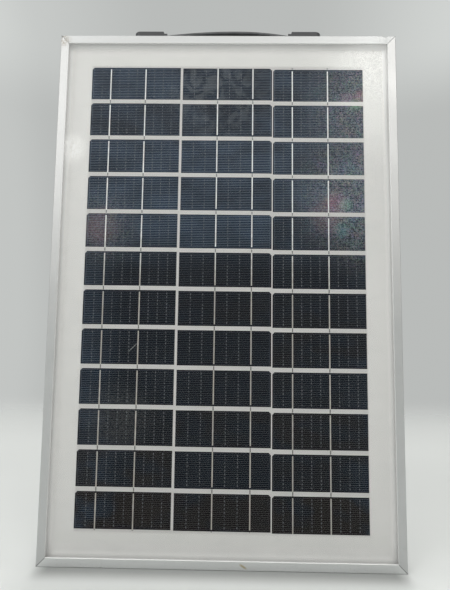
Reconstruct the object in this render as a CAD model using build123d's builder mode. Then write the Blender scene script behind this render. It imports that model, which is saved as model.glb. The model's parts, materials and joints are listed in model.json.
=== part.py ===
from build123d import *
import os

os.makedirs("parts", exist_ok=True)

# Small framed solar panel with a carrying strap. Millimetres, upright: +X to the right seen from the front,
# +Z up towards the strap, glass facing -Y. The rear flange lies on Y = 0, and the origin is the centre of
# the four mounting holes in it. A "depth" below is always measured from the frame's front face backwards.

# ---- frame, outside size and section of its bars
FRAME_WIDTH = 297.0
FRAME_HEIGHT = 452.0
FRAME_DEPTH = 25.0
WALL = 1.4
LIP_WIDTH = 7.3
LIP_THICKNESS = 1.4
LIP_CHAMFER = 0.25
CHANNEL_WALL = 2.0
CHANNEL_REAR = 7.0
LEDGE = 1.2
CHAMBER_WIDTH = 9.2
CHAMBER_WALL = 1.2
FLANGE_WIDTH = 22.0
OUTER_CHAMFER = 0.5

# ---- holes in the rear flange
MOUNT_SPACING_X = 266.0
MOUNT_SPACING_Z = 226.0
MOUNT_HOLE_RADIUS = 3.3
GROUND_HOLE_RADIUS = 2.1
GROUND_HOLE_DROP = 180.0
DRAIN_HOLE_RADIUS = 2.5
DRAIN_HOLE_X = 105.0
DRAIN_HOLE_INSET = 15.5

# ---- corner keys and edge seal
KEY_LEG = 28.0
KEY_CLEARANCE = 0.2
SEAL_REACH = 7.1

# ---- laminate, front to rear
LAMINATE_INSET = 3.0
GLASS_FRONT = 1.8
GLASS_THICKNESS = 3.2
GLASS_CHAMFER = 0.4
FRONT_FILM = 0.2
COVER_THICKNESS = 0.1
RIBBON_THICKNESS = 0.15
CELL_THICKNESS = 0.2
INSULATION_THICKNESS = 0.1
LEAD_THICKNESS = 0.2
BACKSHEET_THICKNESS = 0.3

# ---- cells
ROWS = 12
CELL_WIDTH = 79.4
CELL_HEIGHT = 29.7
ROW_PITCH = 33.38
CELL_CORNER = 1.8
BUSBAR_PITCH = 31.2
NARROW_MARGIN = 17.0
RIBBON_WIDTH = 1.0
RIBBON_START = 1.5
RIBBON_TAIL = 3.0
RIBBON_KINK = 0.5
RIBBON_TO_BUS = 7.0

# ---- bus ribbons, their covers and the output leads
BUS_WIDTH = 5.0
BUS_GAP = 3.0
BUS_OVERHANG = 5.0
COVER_WIDTH = 10.0
COVER_GAP = 0.7
LEAD_WIDTH = 5.0
LEAD_FOLD = 3.5
LEAD_RISER_GAP = 0.6
LEAD_SLOT_PLAY = 1.0
INSULATION_MARGIN = 1.5
RIBBON_POCKET_PLAY = 0.2

# ---- junction box
BOX_Z = 158.0
BOX_WIDTH = 84.0
BOX_HEIGHT = 60.0
BOX_CORNER = 4.0
BOX_WALL = 2.0
BOX_FLOOR = 2.0
BOX_DEPTH = 13.6
ADHESIVE_THICKNESS = 1.0
ADHESIVE_WIDTH = 7.0
LID_THICKNESS = 2.5
LID_RIM_DEPTH = 1.6
LID_RIM_WALL = 1.2
LID_CLEARANCE = 0.3
GASKET_WIDTH = 1.2
GASKET_THICKNESS = 1.0
LID_EDGE_ROUND = 0.8
FLOOR_SLOT_WIDTH = 44.0
FLOOR_SLOT_HEIGHT = 7.0
HINGE_RISE = 3.4
HINGE_BARREL_RADIUS = 2.2
HINGE_PIN_RADIUS = 1.0
HINGE_RUNNING_CLEARANCE = 0.08
HINGE_X = 28.0
KNUCKLE_LENGTH = 8.0
KNUCKLE_ROOT = 0.3
KNUCKLE_LIFT = 0.3
LUG_LENGTH = 4.0
LUG_GAP = 0.3
LUG_FOOT = 7.0
SNAP_X = 27.0
SNAP_WIDTH = 10.0
SNAP_THICKNESS = 1.6
SNAP_GAP = 1.2
SNAP_LENGTH = 6.0
SNAP_BEAD = 1.0
SNAP_BEAD_LENGTH = 1.4
CATCH_HEIGHT = 0.8
CATCH_LENGTH = 1.0
CATCH_CLEARANCE = 0.2

# ---- terminals and diode inside the box
PLATE_WIDTH = 12.0
PLATE_HEIGHT = 26.0
PLATE_THICKNESS = 1.0
PLATE_X = 16.0
PLATE_DROP = 6.0
PEDESTAL_HEIGHT = 3.0
PEDESTAL_SPAN = 20.0
THREAD_PLAY = 0.05
TERMINAL_SCREW_RADIUS = 1.5
TERMINAL_HEAD_RADIUS = 2.8
TERMINAL_HEAD_HEIGHT = 2.0
TERMINAL_SCREW_LENGTH = 3.4
TERMINAL_SCREW_SPACING = 14.0
TERMINAL_SLOT_WIDTH = 0.8
TERMINAL_SLOT_DEPTH = 0.9
DIODE_RADIUS = 2.7
DIODE_LENGTH = 9.0
DIODE_EDGE_ROUND = 0.4
DIODE_WIRE_RADIUS = 0.6
DIODE_DROP = 17.0

# ---- cable gland
SPOUT_DEPTH = 15.0
SPOUT_RADIUS = 6.0
SPOUT_BORE = 4.4
SPOUT_LENGTH = 11.0
GLAND_SEAL_RADIUS = 4.3
GLAND_SEAL_BORE = 3.0
GLAND_SEAL_LENGTH = 8.0
GLAND_NUT_RADIUS = 7.6
GLAND_NUT_CLEARANCE = 0.1
GLAND_NUT_LENGTH = 12.0
GLAND_NUT_STANDOFF = 1.0
GLAND_NUT_MOUTH = 3.3
GLAND_NUT_FACE = 1.6
GLAND_GRIPS = 16
GLAND_GRIP_RADIUS = 0.7

# ---- rating label
LABEL_WIDTH = 90.0
LABEL_HEIGHT = 55.0
LABEL_CORNER = 2.0
LABEL_THICKNESS = 0.1
LABEL_Z = -40.0

# ---- carrying strap
STRAP_WIDTH = 16.0
STRAP_THICKNESS = 2.2
STRAP_SEAT = 1.2
STRAP_RISE = 4.0
STRAP_PEAK_X = 8.0
STRAP_END_X = 79.7
STRAP_GRIP_X = 20.0
STRAP_SIDE_PLAY = 0.4
STRAP_SLOT_WIDTH = 6.4
STRAP_SLOT_TRAVEL = 7.0
CAP_OUTER_X = 83.5
CAP_INNER_X = 54.0
CAP_TOP_X = 57.5
CAP_WIDTH = 20.0
CAP_HEIGHT = 6.0
CAP_CHEEK_HEIGHT = 3.5
CAP_CORNER = 5.0
CAP_TOP_ROUND = 1.2
CAP_WALL = 1.7
CAP_CEILING = 3.8
CAP_SLOPE = 0.8
BOSS_RADIUS = 3.0
BOSS_SEAT = 1.0
SCREW_X = 67.0
SCREW_CLEARANCE_RADIUS = 2.25
SCREW_SINK_RADIUS = 4.0
SCREW_RADIUS = 1.95
SCREW_LENGTH = 12.0
SCREW_HEAD_RADIUS = 3.85
SCREW_SUNK = 0.1
HEAD_TAPER = 45.0
DRIVE_WIDTH = 0.9
DRIVE_SPAN = 3.6
DRIVE_DEPTH = 1.2
NUT_FLANGE_RADIUS = 4.5
NUT_FLANGE_THICKNESS = 1.0
NUT_RADIUS = 3.0
NUT_BORE = 2.0
NUT_BULGE_RADIUS = 4.0
NUT_BULGE_LENGTH = 2.5
NUT_LENGTH = 7.8

# ---- sizes that follow
FRAME_TOP = FRAME_HEIGHT / 2
LAMINATE_WIDTH = FRAME_WIDTH - 2 * LAMINATE_INSET
LAMINATE_HEIGHT = FRAME_HEIGHT - 2 * LAMINATE_INSET
GLASS_REAR = GLASS_FRONT + GLASS_THICKNESS
FILM_REAR = GLASS_REAR + FRONT_FILM
COVER_REAR = FILM_REAR + COVER_THICKNESS
FRONT_RIBBON_REAR = COVER_REAR + RIBBON_THICKNESS
CELL_REAR = FRONT_RIBBON_REAR + CELL_THICKNESS
REAR_RIBBON_REAR = CELL_REAR + RIBBON_THICKNESS
INSULATION_REAR = REAR_RIBBON_REAR + INSULATION_THICKNESS
LEAD_REAR = INSULATION_REAR + LEAD_THICKNESS
BACKSHEET_REAR = LEAD_REAR + BACKSHEET_THICKNESS
CHAMBER_FRONT = CHANNEL_REAR + LEDGE
CHAMBER_REAR = FRAME_DEPTH - WALL
ARRAY_TOP = (ROWS - 1) * ROW_PITCH / 2 + CELL_HEIGHT / 2
BUS_Z = ARRAY_TOP + BUS_GAP + BUS_WIDTH / 2
COVER_Z = ARRAY_TOP + COVER_GAP + COVER_WIDTH / 2
BOX_FRONT = BACKSHEET_REAR + ADHESIVE_THICKNESS
BOX_INSIDE = BOX_FRONT + BOX_FLOOR
BOX_RIM = BOX_FRONT + BOX_DEPTH
BOX_TOP = BOX_Z + BOX_HEIGHT / 2
BOX_BOTTOM = BOX_Z - BOX_HEIGHT / 2
LID_REAR = BOX_RIM + LID_THICKNESS
PLATE_Z = BOX_Z - PLATE_DROP
LEAD_Z = PLATE_Z + PLATE_HEIGHT / 2 + LEAD_RISER_GAP
PLATE_REAR = BOX_INSIDE + PEDESTAL_HEIGHT + PLATE_THICKNESS
HINGE_Z = BOX_TOP + HINGE_RISE
HINGE_DEPTH = BOX_RIM + LID_THICKNESS / 2
STRAP_DEPTH = FRAME_DEPTH / 2

# Each string of cells: x of its middle, lift of the whole string, the side its narrow margin is on,
# and the way its ribbons leave the front of a cell for the back of the next (-1 is down, 1 is up).
STRINGS = {
    "left": {"x": -81.1, "lift": 0.4, "narrow": -1, "leaves": -1},
    "middle": {"x": 0.4, "lift": 0.0, "narrow": 1, "leaves": 1},
    "right": {"x": 80.8, "lift": -0.9, "narrow": -1, "leaves": -1},
}


def layer(depth):
    """Plane parallel to the glass at a depth. Its normal points to the front and its y axis points up."""
    return Plane.XZ.offset(FRAME_DEPTH - depth)


def y_at(depth):
    """Y of a depth behind the frame's front face."""
    return depth - FRAME_DEPTH


def finish(part, name):
    """Labels a finished piece and writes it to its own file."""
    part.label = name
    export_step(part, f"parts/{name}.step")


# ================================================================ frame bars


def bar_section():
    """Section of a bar: local x runs inwards from the outer face and local y runs backwards."""
    chamber_width = CHAMBER_WIDTH - CHAMBER_WALL - WALL
    chamber_middle = (WALL + chamber_width / 2, (CHAMBER_FRONT + CHAMBER_REAR) / 2)
    with BuildSketch() as section:
        with BuildLine():
            Polyline(
                (0, OUTER_CHAMFER),
                (OUTER_CHAMFER, 0),
                (LIP_WIDTH - LIP_CHAMFER, 0),
                (LIP_WIDTH, LIP_CHAMFER),
                (LIP_WIDTH, LIP_THICKNESS),
                (CHANNEL_WALL, LIP_THICKNESS),
                (CHANNEL_WALL, CHANNEL_REAR),
                (CHAMBER_WIDTH, CHANNEL_REAR),
                (CHAMBER_WIDTH, CHAMBER_REAR),
                (FLANGE_WIDTH, CHAMBER_REAR),
                (FLANGE_WIDTH, FRAME_DEPTH),
                (OUTER_CHAMFER, FRAME_DEPTH),
                (0, FRAME_DEPTH - OUTER_CHAMFER),
                close=True,
            )
        make_face()
        with Locations(chamber_middle):
            Rectangle(chamber_width, CHAMBER_REAR - CHAMBER_FRONT, mode=Mode.SUBTRACT)
    return section.sketch


def bar_plane(inwards):
    """Plane across the middle of a bar, at its front outer edge, with local x pointing inwards."""
    outer = Vector(-inwards.X * FRAME_WIDTH / 2, y_at(0), -inwards.Z * FRAME_HEIGHT / 2)
    return Plane(origin=outer, x_dir=inwards, z_dir=inwards.cross(Vector(0, 1, 0)))


def mitre_ends(plane, length):
    """Cuts both ends of the bar being built at 45 degrees, through the frame's outer corners."""
    for end in (-1, 1):
        corner = plane.origin + plane.z_dir * (end * length / 2)
        split(bisect_by=Plane(origin=corner, z_dir=plane.z_dir * -end - plane.x_dir), keep=Keep.TOP)


BAR_SECTION = bar_section()
TOP_PLANE = bar_plane(Vector(0, 0, -1))
BOTTOM_PLANE = bar_plane(Vector(0, 0, 1))
LEFT_PLANE = bar_plane(Vector(1, 0, 0))
RIGHT_PLANE = bar_plane(Vector(-1, 0, 0))

with BuildPart() as frame_top:
    with BuildSketch(TOP_PLANE):
        add(BAR_SECTION)
    extrude(amount=FRAME_WIDTH / 2, both=True)
    mitre_ends(TOP_PLANE, FRAME_WIDTH)
    with BuildSketch(Plane.XY.offset(FRAME_TOP)):
        with Locations((-SCREW_X, y_at(STRAP_DEPTH)), (SCREW_X, y_at(STRAP_DEPTH))):
            Circle(NUT_RADIUS)
    extrude(amount=-WALL, mode=Mode.SUBTRACT)
finish(frame_top.part, "frame_top")

with BuildPart() as frame_bottom:
    with BuildSketch(BOTTOM_PLANE):
        add(BAR_SECTION)
    extrude(amount=FRAME_WIDTH / 2, both=True)
    mitre_ends(BOTTOM_PLANE, FRAME_WIDTH)
    with BuildSketch(layer(FRAME_DEPTH)):
        with Locations((0, DRAIN_HOLE_INSET - FRAME_TOP)):
            with GridLocations(2 * DRAIN_HOLE_X, 0, 2, 1):
                Circle(DRAIN_HOLE_RADIUS)
    extrude(amount=WALL, mode=Mode.SUBTRACT)
finish(frame_bottom.part, "frame_bottom")

with BuildPart() as frame_left:
    with BuildSketch(LEFT_PLANE):
        add(BAR_SECTION)
    extrude(amount=FRAME_HEIGHT / 2, both=True)
    mitre_ends(LEFT_PLANE, FRAME_HEIGHT)
    with BuildSketch(layer(FRAME_DEPTH)):
        with Locations((-MOUNT_SPACING_X / 2, 0)):
            with GridLocations(0, MOUNT_SPACING_Z, 1, 2):
                Circle(MOUNT_HOLE_RADIUS)
        with Locations((-MOUNT_SPACING_X / 2, -GROUND_HOLE_DROP)):
            Circle(GROUND_HOLE_RADIUS)
    extrude(amount=WALL, mode=Mode.SUBTRACT)
finish(frame_left.part, "frame_left")

with BuildPart() as frame_right:
    with BuildSketch(RIGHT_PLANE):
        add(BAR_SECTION)
    extrude(amount=FRAME_HEIGHT / 2, both=True)
    mitre_ends(RIGHT_PLANE, FRAME_HEIGHT)
    with BuildSketch(layer(FRAME_DEPTH)):
        with Locations((MOUNT_SPACING_X / 2, 0)):
            with GridLocations(0, MOUNT_SPACING_Z, 1, 2):
                Circle(MOUNT_HOLE_RADIUS)
    extrude(amount=WALL, mode=Mode.SUBTRACT)
finish(frame_right.part, "frame_right")

# ================================================================ corner keys and edge seal

with BuildPart() as corner_keys:
    with BuildSketch(layer(CHAMBER_REAR - KEY_CLEARANCE)):
        for side in (-1, 1):
            for end in (-1, 1):
                near_x = side * (FRAME_WIDTH / 2 - WALL - KEY_CLEARANCE)
                near_z = end * (FRAME_TOP - WALL - KEY_CLEARANCE)
                leg = CHAMBER_WIDTH - CHAMBER_WALL - WALL - 2 * KEY_CLEARANCE
                with BuildLine():
                    Polyline(
                        (near_x, near_z),
                        (near_x - side * KEY_LEG, near_z),
                        (near_x - side * KEY_LEG, near_z - end * leg),
                        (near_x - side * leg, near_z - end * leg),
                        (near_x - side * leg, near_z - end * KEY_LEG),
                        (near_x, near_z - end * KEY_LEG),
                        close=True,
                    )
                make_face()
    extrude(amount=CHAMBER_REAR - CHAMBER_FRONT - 2 * KEY_CLEARANCE)
finish(corner_keys.part, "corner_keys")

with BuildPart() as edge_seal:
    with BuildSketch(layer(CHANNEL_REAR)):
        Rectangle(FRAME_WIDTH - 2 * CHANNEL_WALL, FRAME_HEIGHT - 2 * CHANNEL_WALL)
        Rectangle(FRAME_WIDTH - 2 * SEAL_REACH, FRAME_HEIGHT - 2 * SEAL_REACH, mode=Mode.SUBTRACT)
    extrude(amount=CHANNEL_REAR - LIP_THICKNESS)
    with BuildSketch(layer(BACKSHEET_REAR)):
        Rectangle(LAMINATE_WIDTH, LAMINATE_HEIGHT)
    extrude(amount=BACKSHEET_REAR - GLASS_FRONT, mode=Mode.SUBTRACT)
finish(edge_seal.part, "edge_seal")

# ================================================================ laminate

with BuildPart() as front_glass:
    with BuildSketch(layer(GLASS_REAR)):
        Rectangle(LAMINATE_WIDTH, LAMINATE_HEIGHT)
    extrude(amount=GLASS_THICKNESS)
    chamfer(front_glass.faces().sort_by(Axis.Y)[0].edges(), GLASS_CHAMFER)
finish(front_glass.part, "front_glass")

with BuildPart() as front_encapsulant:
    with BuildSketch(layer(FILM_REAR)):
        Rectangle(LAMINATE_WIDTH, LAMINATE_HEIGHT)
    extrude(amount=FRONT_FILM)
finish(front_encapsulant.part, "front_encapsulant")


def row_z(string, row):
    """Height of the middle of a cell; row 0 is the top one."""
    return string["lift"] + ((ROWS - 1) / 2 - row) * ROW_PITCH


def busbar_x(string):
    """X of a string's two ribbons, counted from the side with the narrow margin."""
    first = string["x"] + string["narrow"] * (CELL_WIDTH / 2 - NARROW_MARGIN)
    return [first, first - string["narrow"] * BUSBAR_PITCH]


def cell_places(string):
    """Middles of a string's cells, in the plane of the glass."""
    return [(string["x"], row_z(string, row)) for row in range(ROWS)]


def cell_corners(string):
    """Outline of one cell about its middle, with its cut corner at the top on the narrow side."""
    side = string["narrow"]
    half_width = CELL_WIDTH / 2
    half_height = CELL_HEIGHT / 2
    return [
        (side * (half_width - CELL_CORNER), half_height),
        (-side * half_width, half_height),
        (-side * half_width, -half_height),
        (side * half_width, -half_height),
        (side * half_width, half_height - CELL_CORNER),
    ]


def ribbon_profile(string, row):
    """Side view of the ribbon from the front of a cell to the back of the next, or to the bus at the end."""
    way = string["leaves"]
    middle = row_z(string, row)
    next_row = row - way
    half = CELL_HEIGHT / 2
    front, front_rear = y_at(COVER_REAR), y_at(FRONT_RIBBON_REAR)
    rear, rear_rear = y_at(CELL_REAR), y_at(REAR_RIBBON_REAR)
    start = middle - way * (half - RIBBON_START)
    if not 0 <= next_row < ROWS:
        end = middle + way * (half + RIBBON_TO_BUS)
        return [(front, start), (front, end), (front_rear, end), (front_rear, start)]
    leave = middle + way * (half + RIBBON_KINK)
    arrive = middle + way * (ROW_PITCH - half - RIBBON_KINK)
    end = middle + way * (ROW_PITCH + half - RIBBON_TAIL)
    slant = way * RIBBON_THICKNESS
    return [
        (front, start),
        (front, leave),
        (rear, arrive),
        (rear, end),
        (rear_rear, end),
        (rear_rear, arrive - slant),
        (front_rear, leave - slant),
        (front_rear, start),
    ]


def bus_end_profile(string):
    """Side view of the ribbon from the bus to the back of a string's first cell."""
    way = string["leaves"]
    first_row = 0 if way < 0 else ROWS - 1
    middle = row_z(string, first_row)
    start = middle - way * (CELL_HEIGHT / 2 + RIBBON_TO_BUS)
    end = middle + way * (CELL_HEIGHT / 2 - RIBBON_TAIL)
    rear, rear_rear = y_at(CELL_REAR), y_at(REAR_RIBBON_REAR)
    return [(rear, start), (rear, end), (rear_rear, end), (rear_rear, start)]


for name, string in STRINGS.items():
    with BuildPart() as cells:
        with BuildSketch(layer(CELL_REAR)):
            with Locations(*cell_places(string)):
                Polygon(*cell_corners(string), align=None)
        extrude(amount=CELL_THICKNESS)
    finish(cells.part, f"cells_{name}_string")

for name, string in STRINGS.items():
    with BuildPart() as ribbons:
        for x in busbar_x(string):
            with BuildSketch(Plane.YZ.offset(x)):
                for row in range(ROWS):
                    Polygon(*ribbon_profile(string, row), align=None)
                Polygon(*bus_end_profile(string), align=None)
            extrude(amount=RIBBON_WIDTH / 2, both=True)
    finish(ribbons.part, f"ribbons_{name}_string")


def bus_spans(end):
    """From-to x of the two bus ribbons at the top (end 1) or the bottom (end -1).

    At the top the left string ends alone and the other two are joined. At the bottom the left two are
    joined and the right string ends alone.
    """
    inner = {name: busbar_x(string) for name, string in STRINGS.items()}
    if end > 0:
        groups = (inner["left"], inner["middle"] + inner["right"])
    else:
        groups = (inner["left"] + inner["middle"], inner["right"])
    return [(min(xs) - BUS_OVERHANG, max(xs) + BUS_OVERHANG) for xs in groups]


with BuildPart() as bus_ribbons:
    with BuildSketch(layer(CELL_REAR)):
        for end in (-1, 1):
            for from_x, to_x in bus_spans(end):
                with Locations(((from_x + to_x) / 2, end * BUS_Z)):
                    Rectangle(to_x - from_x, BUS_WIDTH)
    extrude(amount=CELL_THICKNESS)
finish(bus_ribbons.part, "bus_ribbons")

with BuildPart() as bus_cover_strips:
    with BuildSketch(layer(COVER_REAR)):
        with GridLocations(0, 2 * COVER_Z, 1, 2):
            Rectangle(LAMINATE_WIDTH - 2 * COVER_WIDTH, COVER_WIDTH)
    extrude(amount=COVER_THICKNESS)
finish(bus_cover_strips.part, "bus_cover_strips")


def lead_route(side):
    """Centre line of an output lead behind the cells, from its bus ribbon to its slot under the box."""
    string, end = (STRINGS["left"], 1) if side < 0 else (STRINGS["right"], -1)
    start_x = sum(busbar_x(string)) / 2
    return [(start_x, end * BUS_Z), (start_x, LEAD_Z), (side * PLATE_X, LEAD_Z)]


def strip_boxes(route, width):
    """Middle, width and height of the rectangles that make a flat strip along a square-cornered route."""
    boxes = []
    for (x0, z0), (x1, z1) in zip(route, route[1:]):
        boxes.append((((x0 + x1) / 2, (z0 + z1) / 2), abs(x1 - x0) + width, abs(z1 - z0) + width))
    return boxes


LEAD_ROUTES = [lead_route(-1), lead_route(1)]
SOLDER_PADS = [route[0] for route in LEAD_ROUTES]
RISERS = [route[-1] for route in LEAD_ROUTES]

with BuildPart() as output_leads:
    with BuildSketch(layer(LEAD_REAR)):
        for route in LEAD_ROUTES:
            for middle, width, height in strip_boxes(route, LEAD_WIDTH):
                with Locations(middle):
                    Rectangle(width, height)
    extrude(amount=LEAD_THICKNESS)
    with BuildSketch(layer(INSULATION_REAR)):
        with Locations(*SOLDER_PADS):
            Rectangle(LEAD_WIDTH, BUS_WIDTH)
    extrude(amount=INSULATION_REAR - CELL_REAR)
    with BuildSketch(layer(LEAD_REAR)):
        with Locations(*RISERS):
            Rectangle(LEAD_WIDTH, LEAD_THICKNESS)
    extrude(amount=LEAD_REAR - PLATE_REAR - LEAD_THICKNESS)
    with BuildSketch(layer(PLATE_REAR)):
        with Locations(*[(x, z - LEAD_FOLD / 2) for x, z in RISERS]):
            Rectangle(LEAD_WIDTH, LEAD_FOLD)
    extrude(amount=-LEAD_THICKNESS)
finish(output_leads.part, "output_leads")

with BuildPart() as lead_insulation:
    with BuildSketch(layer(INSULATION_REAR)):
        for route in LEAD_ROUTES:
            for middle, width, height in strip_boxes(route, LEAD_WIDTH + 2 * INSULATION_MARGIN):
                with Locations(middle):
                    Rectangle(width, height)
        with Locations(*SOLDER_PADS):
            Rectangle(LEAD_WIDTH, BUS_WIDTH, mode=Mode.SUBTRACT)
    extrude(amount=INSULATION_THICKNESS)
finish(lead_insulation.part, "lead_insulation")

with BuildPart() as rear_encapsulant:
    with BuildSketch(layer(LEAD_REAR)):
        Rectangle(LAMINATE_WIDTH, LAMINATE_HEIGHT)
    extrude(amount=LEAD_REAR - FILM_REAR)
    with BuildSketch(layer(COVER_REAR)):
        with GridLocations(0, 2 * COVER_Z, 1, 2):
            Rectangle(LAMINATE_WIDTH - 2 * COVER_WIDTH, COVER_WIDTH)
    extrude(amount=COVER_THICKNESS, mode=Mode.SUBTRACT)
    with BuildSketch(layer(CELL_REAR)):
        for string in STRINGS.values():
            with Locations(*cell_places(string)):
                Polygon(*cell_corners(string), align=None)
        for end in (-1, 1):
            for from_x, to_x in bus_spans(end):
                with Locations(((from_x + to_x) / 2, end * BUS_Z)):
                    Rectangle(to_x - from_x, BUS_WIDTH)
    extrude(amount=CELL_REAR - FILM_REAR, mode=Mode.SUBTRACT)
    with BuildSketch(layer(REAR_RIBBON_REAR)):
        for string in STRINGS.values():
            with Locations(*[(x, 0) for x in busbar_x(string)]):
                Rectangle(RIBBON_WIDTH + RIBBON_POCKET_PLAY, 2 * (BUS_Z + BUS_WIDTH))
    extrude(amount=REAR_RIBBON_REAR - FILM_REAR, mode=Mode.SUBTRACT)
    with BuildSketch(layer(LEAD_REAR)):
        for route in LEAD_ROUTES:
            for middle, width, height in strip_boxes(route, LEAD_WIDTH + 2 * INSULATION_MARGIN):
                with Locations(middle):
                    Rectangle(width, height)
    extrude(amount=LEAD_REAR - CELL_REAR, mode=Mode.SUBTRACT)
finish(rear_encapsulant.part, "rear_encapsulant")

with BuildPart() as backsheet:
    with BuildSketch(layer(BACKSHEET_REAR)):
        Rectangle(LAMINATE_WIDTH, LAMINATE_HEIGHT)
        with Locations(*RISERS):
            Rectangle(LEAD_WIDTH + LEAD_SLOT_PLAY, LEAD_THICKNESS + LEAD_SLOT_PLAY, mode=Mode.SUBTRACT)
    extrude(amount=BACKSHEET_THICKNESS)
finish(backsheet.part, "backsheet")

with BuildPart() as rating_label:
    with BuildSketch(layer(BACKSHEET_REAR + LABEL_THICKNESS)):
        with Locations((0, LABEL_Z)):
            RectangleRounded(LABEL_WIDTH, LABEL_HEIGHT, LABEL_CORNER)
    extrude(amount=LABEL_THICKNESS)
finish(rating_label.part, "rating_label")

# ================================================================ junction box


def box_outline(inset):
    """Rounded outline of the junction box, drawn in from its outside by an inset."""
    with BuildSketch() as outline:
        with Locations((0, BOX_Z)):
            RectangleRounded(BOX_WIDTH - 2 * inset, BOX_HEIGHT - 2 * inset, BOX_CORNER - inset)
    return outline.sketch


BOX_OUTSIDE = box_outline(0)
BOX_CAVITY = box_outline(BOX_WALL)
GASKET_OUTSIDE = box_outline((BOX_WALL - GASKET_WIDTH) / 2)
GASKET_INSIDE = box_outline((BOX_WALL + GASKET_WIDTH) / 2)
LID_RIM_OUTSIDE = box_outline(BOX_WALL + LID_CLEARANCE)
LID_RIM_INSIDE = box_outline(BOX_WALL + LID_CLEARANCE + LID_RIM_WALL)
TERMINAL_PLACES = [
    (side * PLATE_X, PLATE_Z + end * TERMINAL_SCREW_SPACING / 2) for side in (-1, 1) for end in (-1, 1)
]
KNUCKLES = (-HINGE_X, HINGE_X)
LUGS = [
    x + side * (KNUCKLE_LENGTH / 2 + LUG_GAP + LUG_LENGTH / 2) for x in KNUCKLES for side in (-1, 1)
]
HINGE_POINT = (y_at(HINGE_DEPTH), HINGE_Z)
SPOUT_POINT = (0, y_at(SPOUT_DEPTH))

with BuildPart() as jbox_adhesive:
    with BuildSketch(layer(BOX_FRONT)):
        add(BOX_OUTSIDE)
        with Locations((0, BOX_Z)):
            Rectangle(BOX_WIDTH - 2 * ADHESIVE_WIDTH, BOX_HEIGHT - 2 * ADHESIVE_WIDTH, mode=Mode.SUBTRACT)
    extrude(amount=ADHESIVE_THICKNESS)
finish(jbox_adhesive.part, "jbox_adhesive")

with BuildPart() as jbox_base:
    with BuildSketch(layer(BOX_RIM)):
        add(BOX_OUTSIDE)
    extrude(amount=BOX_DEPTH)
    with BuildSketch(layer(BOX_RIM)):
        add(BOX_CAVITY)
    extrude(amount=BOX_DEPTH - BOX_FLOOR, mode=Mode.SUBTRACT)
    with BuildSketch(layer(BOX_INSIDE)):
        with Locations((0, LEAD_Z)):
            Rectangle(FLOOR_SLOT_WIDTH, FLOOR_SLOT_HEIGHT)
    extrude(amount=BOX_FLOOR, mode=Mode.SUBTRACT)
    with BuildSketch(layer(BOX_INSIDE + PEDESTAL_HEIGHT)):
        with Locations((-PLATE_X, PLATE_Z), (PLATE_X, PLATE_Z)):
            Rectangle(PLATE_WIDTH, PEDESTAL_SPAN)
    extrude(amount=PEDESTAL_HEIGHT)
    with BuildSketch(layer(BOX_INSIDE + PEDESTAL_HEIGHT)):
        with Locations(*TERMINAL_PLACES):
            Circle(TERMINAL_SCREW_RADIUS + THREAD_PLAY)
    extrude(amount=PEDESTAL_HEIGHT, mode=Mode.SUBTRACT)
    for x in LUGS:
        with BuildSketch(Plane.YZ.offset(x)):
            Polygon(
                (y_at(BOX_RIM - LUG_FOOT), BOX_TOP - BOX_WALL / 2),
                (y_at(BOX_RIM), BOX_TOP - BOX_WALL / 2),
                (y_at(BOX_RIM), BOX_TOP),
                (y_at(HINGE_DEPTH) + HINGE_BARREL_RADIUS, HINGE_Z),
                (y_at(HINGE_DEPTH) - HINGE_BARREL_RADIUS, HINGE_Z),
                align=None,
            )
            with Locations(HINGE_POINT):
                Circle(HINGE_BARREL_RADIUS)
                Circle(HINGE_PIN_RADIUS, mode=Mode.SUBTRACT)
        extrude(amount=LUG_LENGTH / 2, both=True)
    catch_front = BOX_RIM - SNAP_LENGTH + SNAP_BEAD_LENGTH + CATCH_CLEARANCE
    with BuildSketch(layer(catch_front + CATCH_LENGTH)):
        with Locations((-SNAP_X, BOX_BOTTOM), (SNAP_X, BOX_BOTTOM)):
            Rectangle(SNAP_WIDTH, 2 * CATCH_HEIGHT)
    extrude(amount=CATCH_LENGTH)
    with BuildSketch(Plane.XY.offset(BOX_BOTTOM + BOX_WALL / 2)):
        with Locations(SPOUT_POINT):
            Circle(SPOUT_RADIUS)
    extrude(amount=-SPOUT_LENGTH - BOX_WALL / 2)
    with BuildSketch(Plane.XY.offset(BOX_BOTTOM + BOX_WALL)):
        with Locations(SPOUT_POINT):
            Circle(SPOUT_BORE)
    extrude(amount=-SPOUT_LENGTH - BOX_WALL, mode=Mode.SUBTRACT)
finish(jbox_base.part, "jbox_base")

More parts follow.
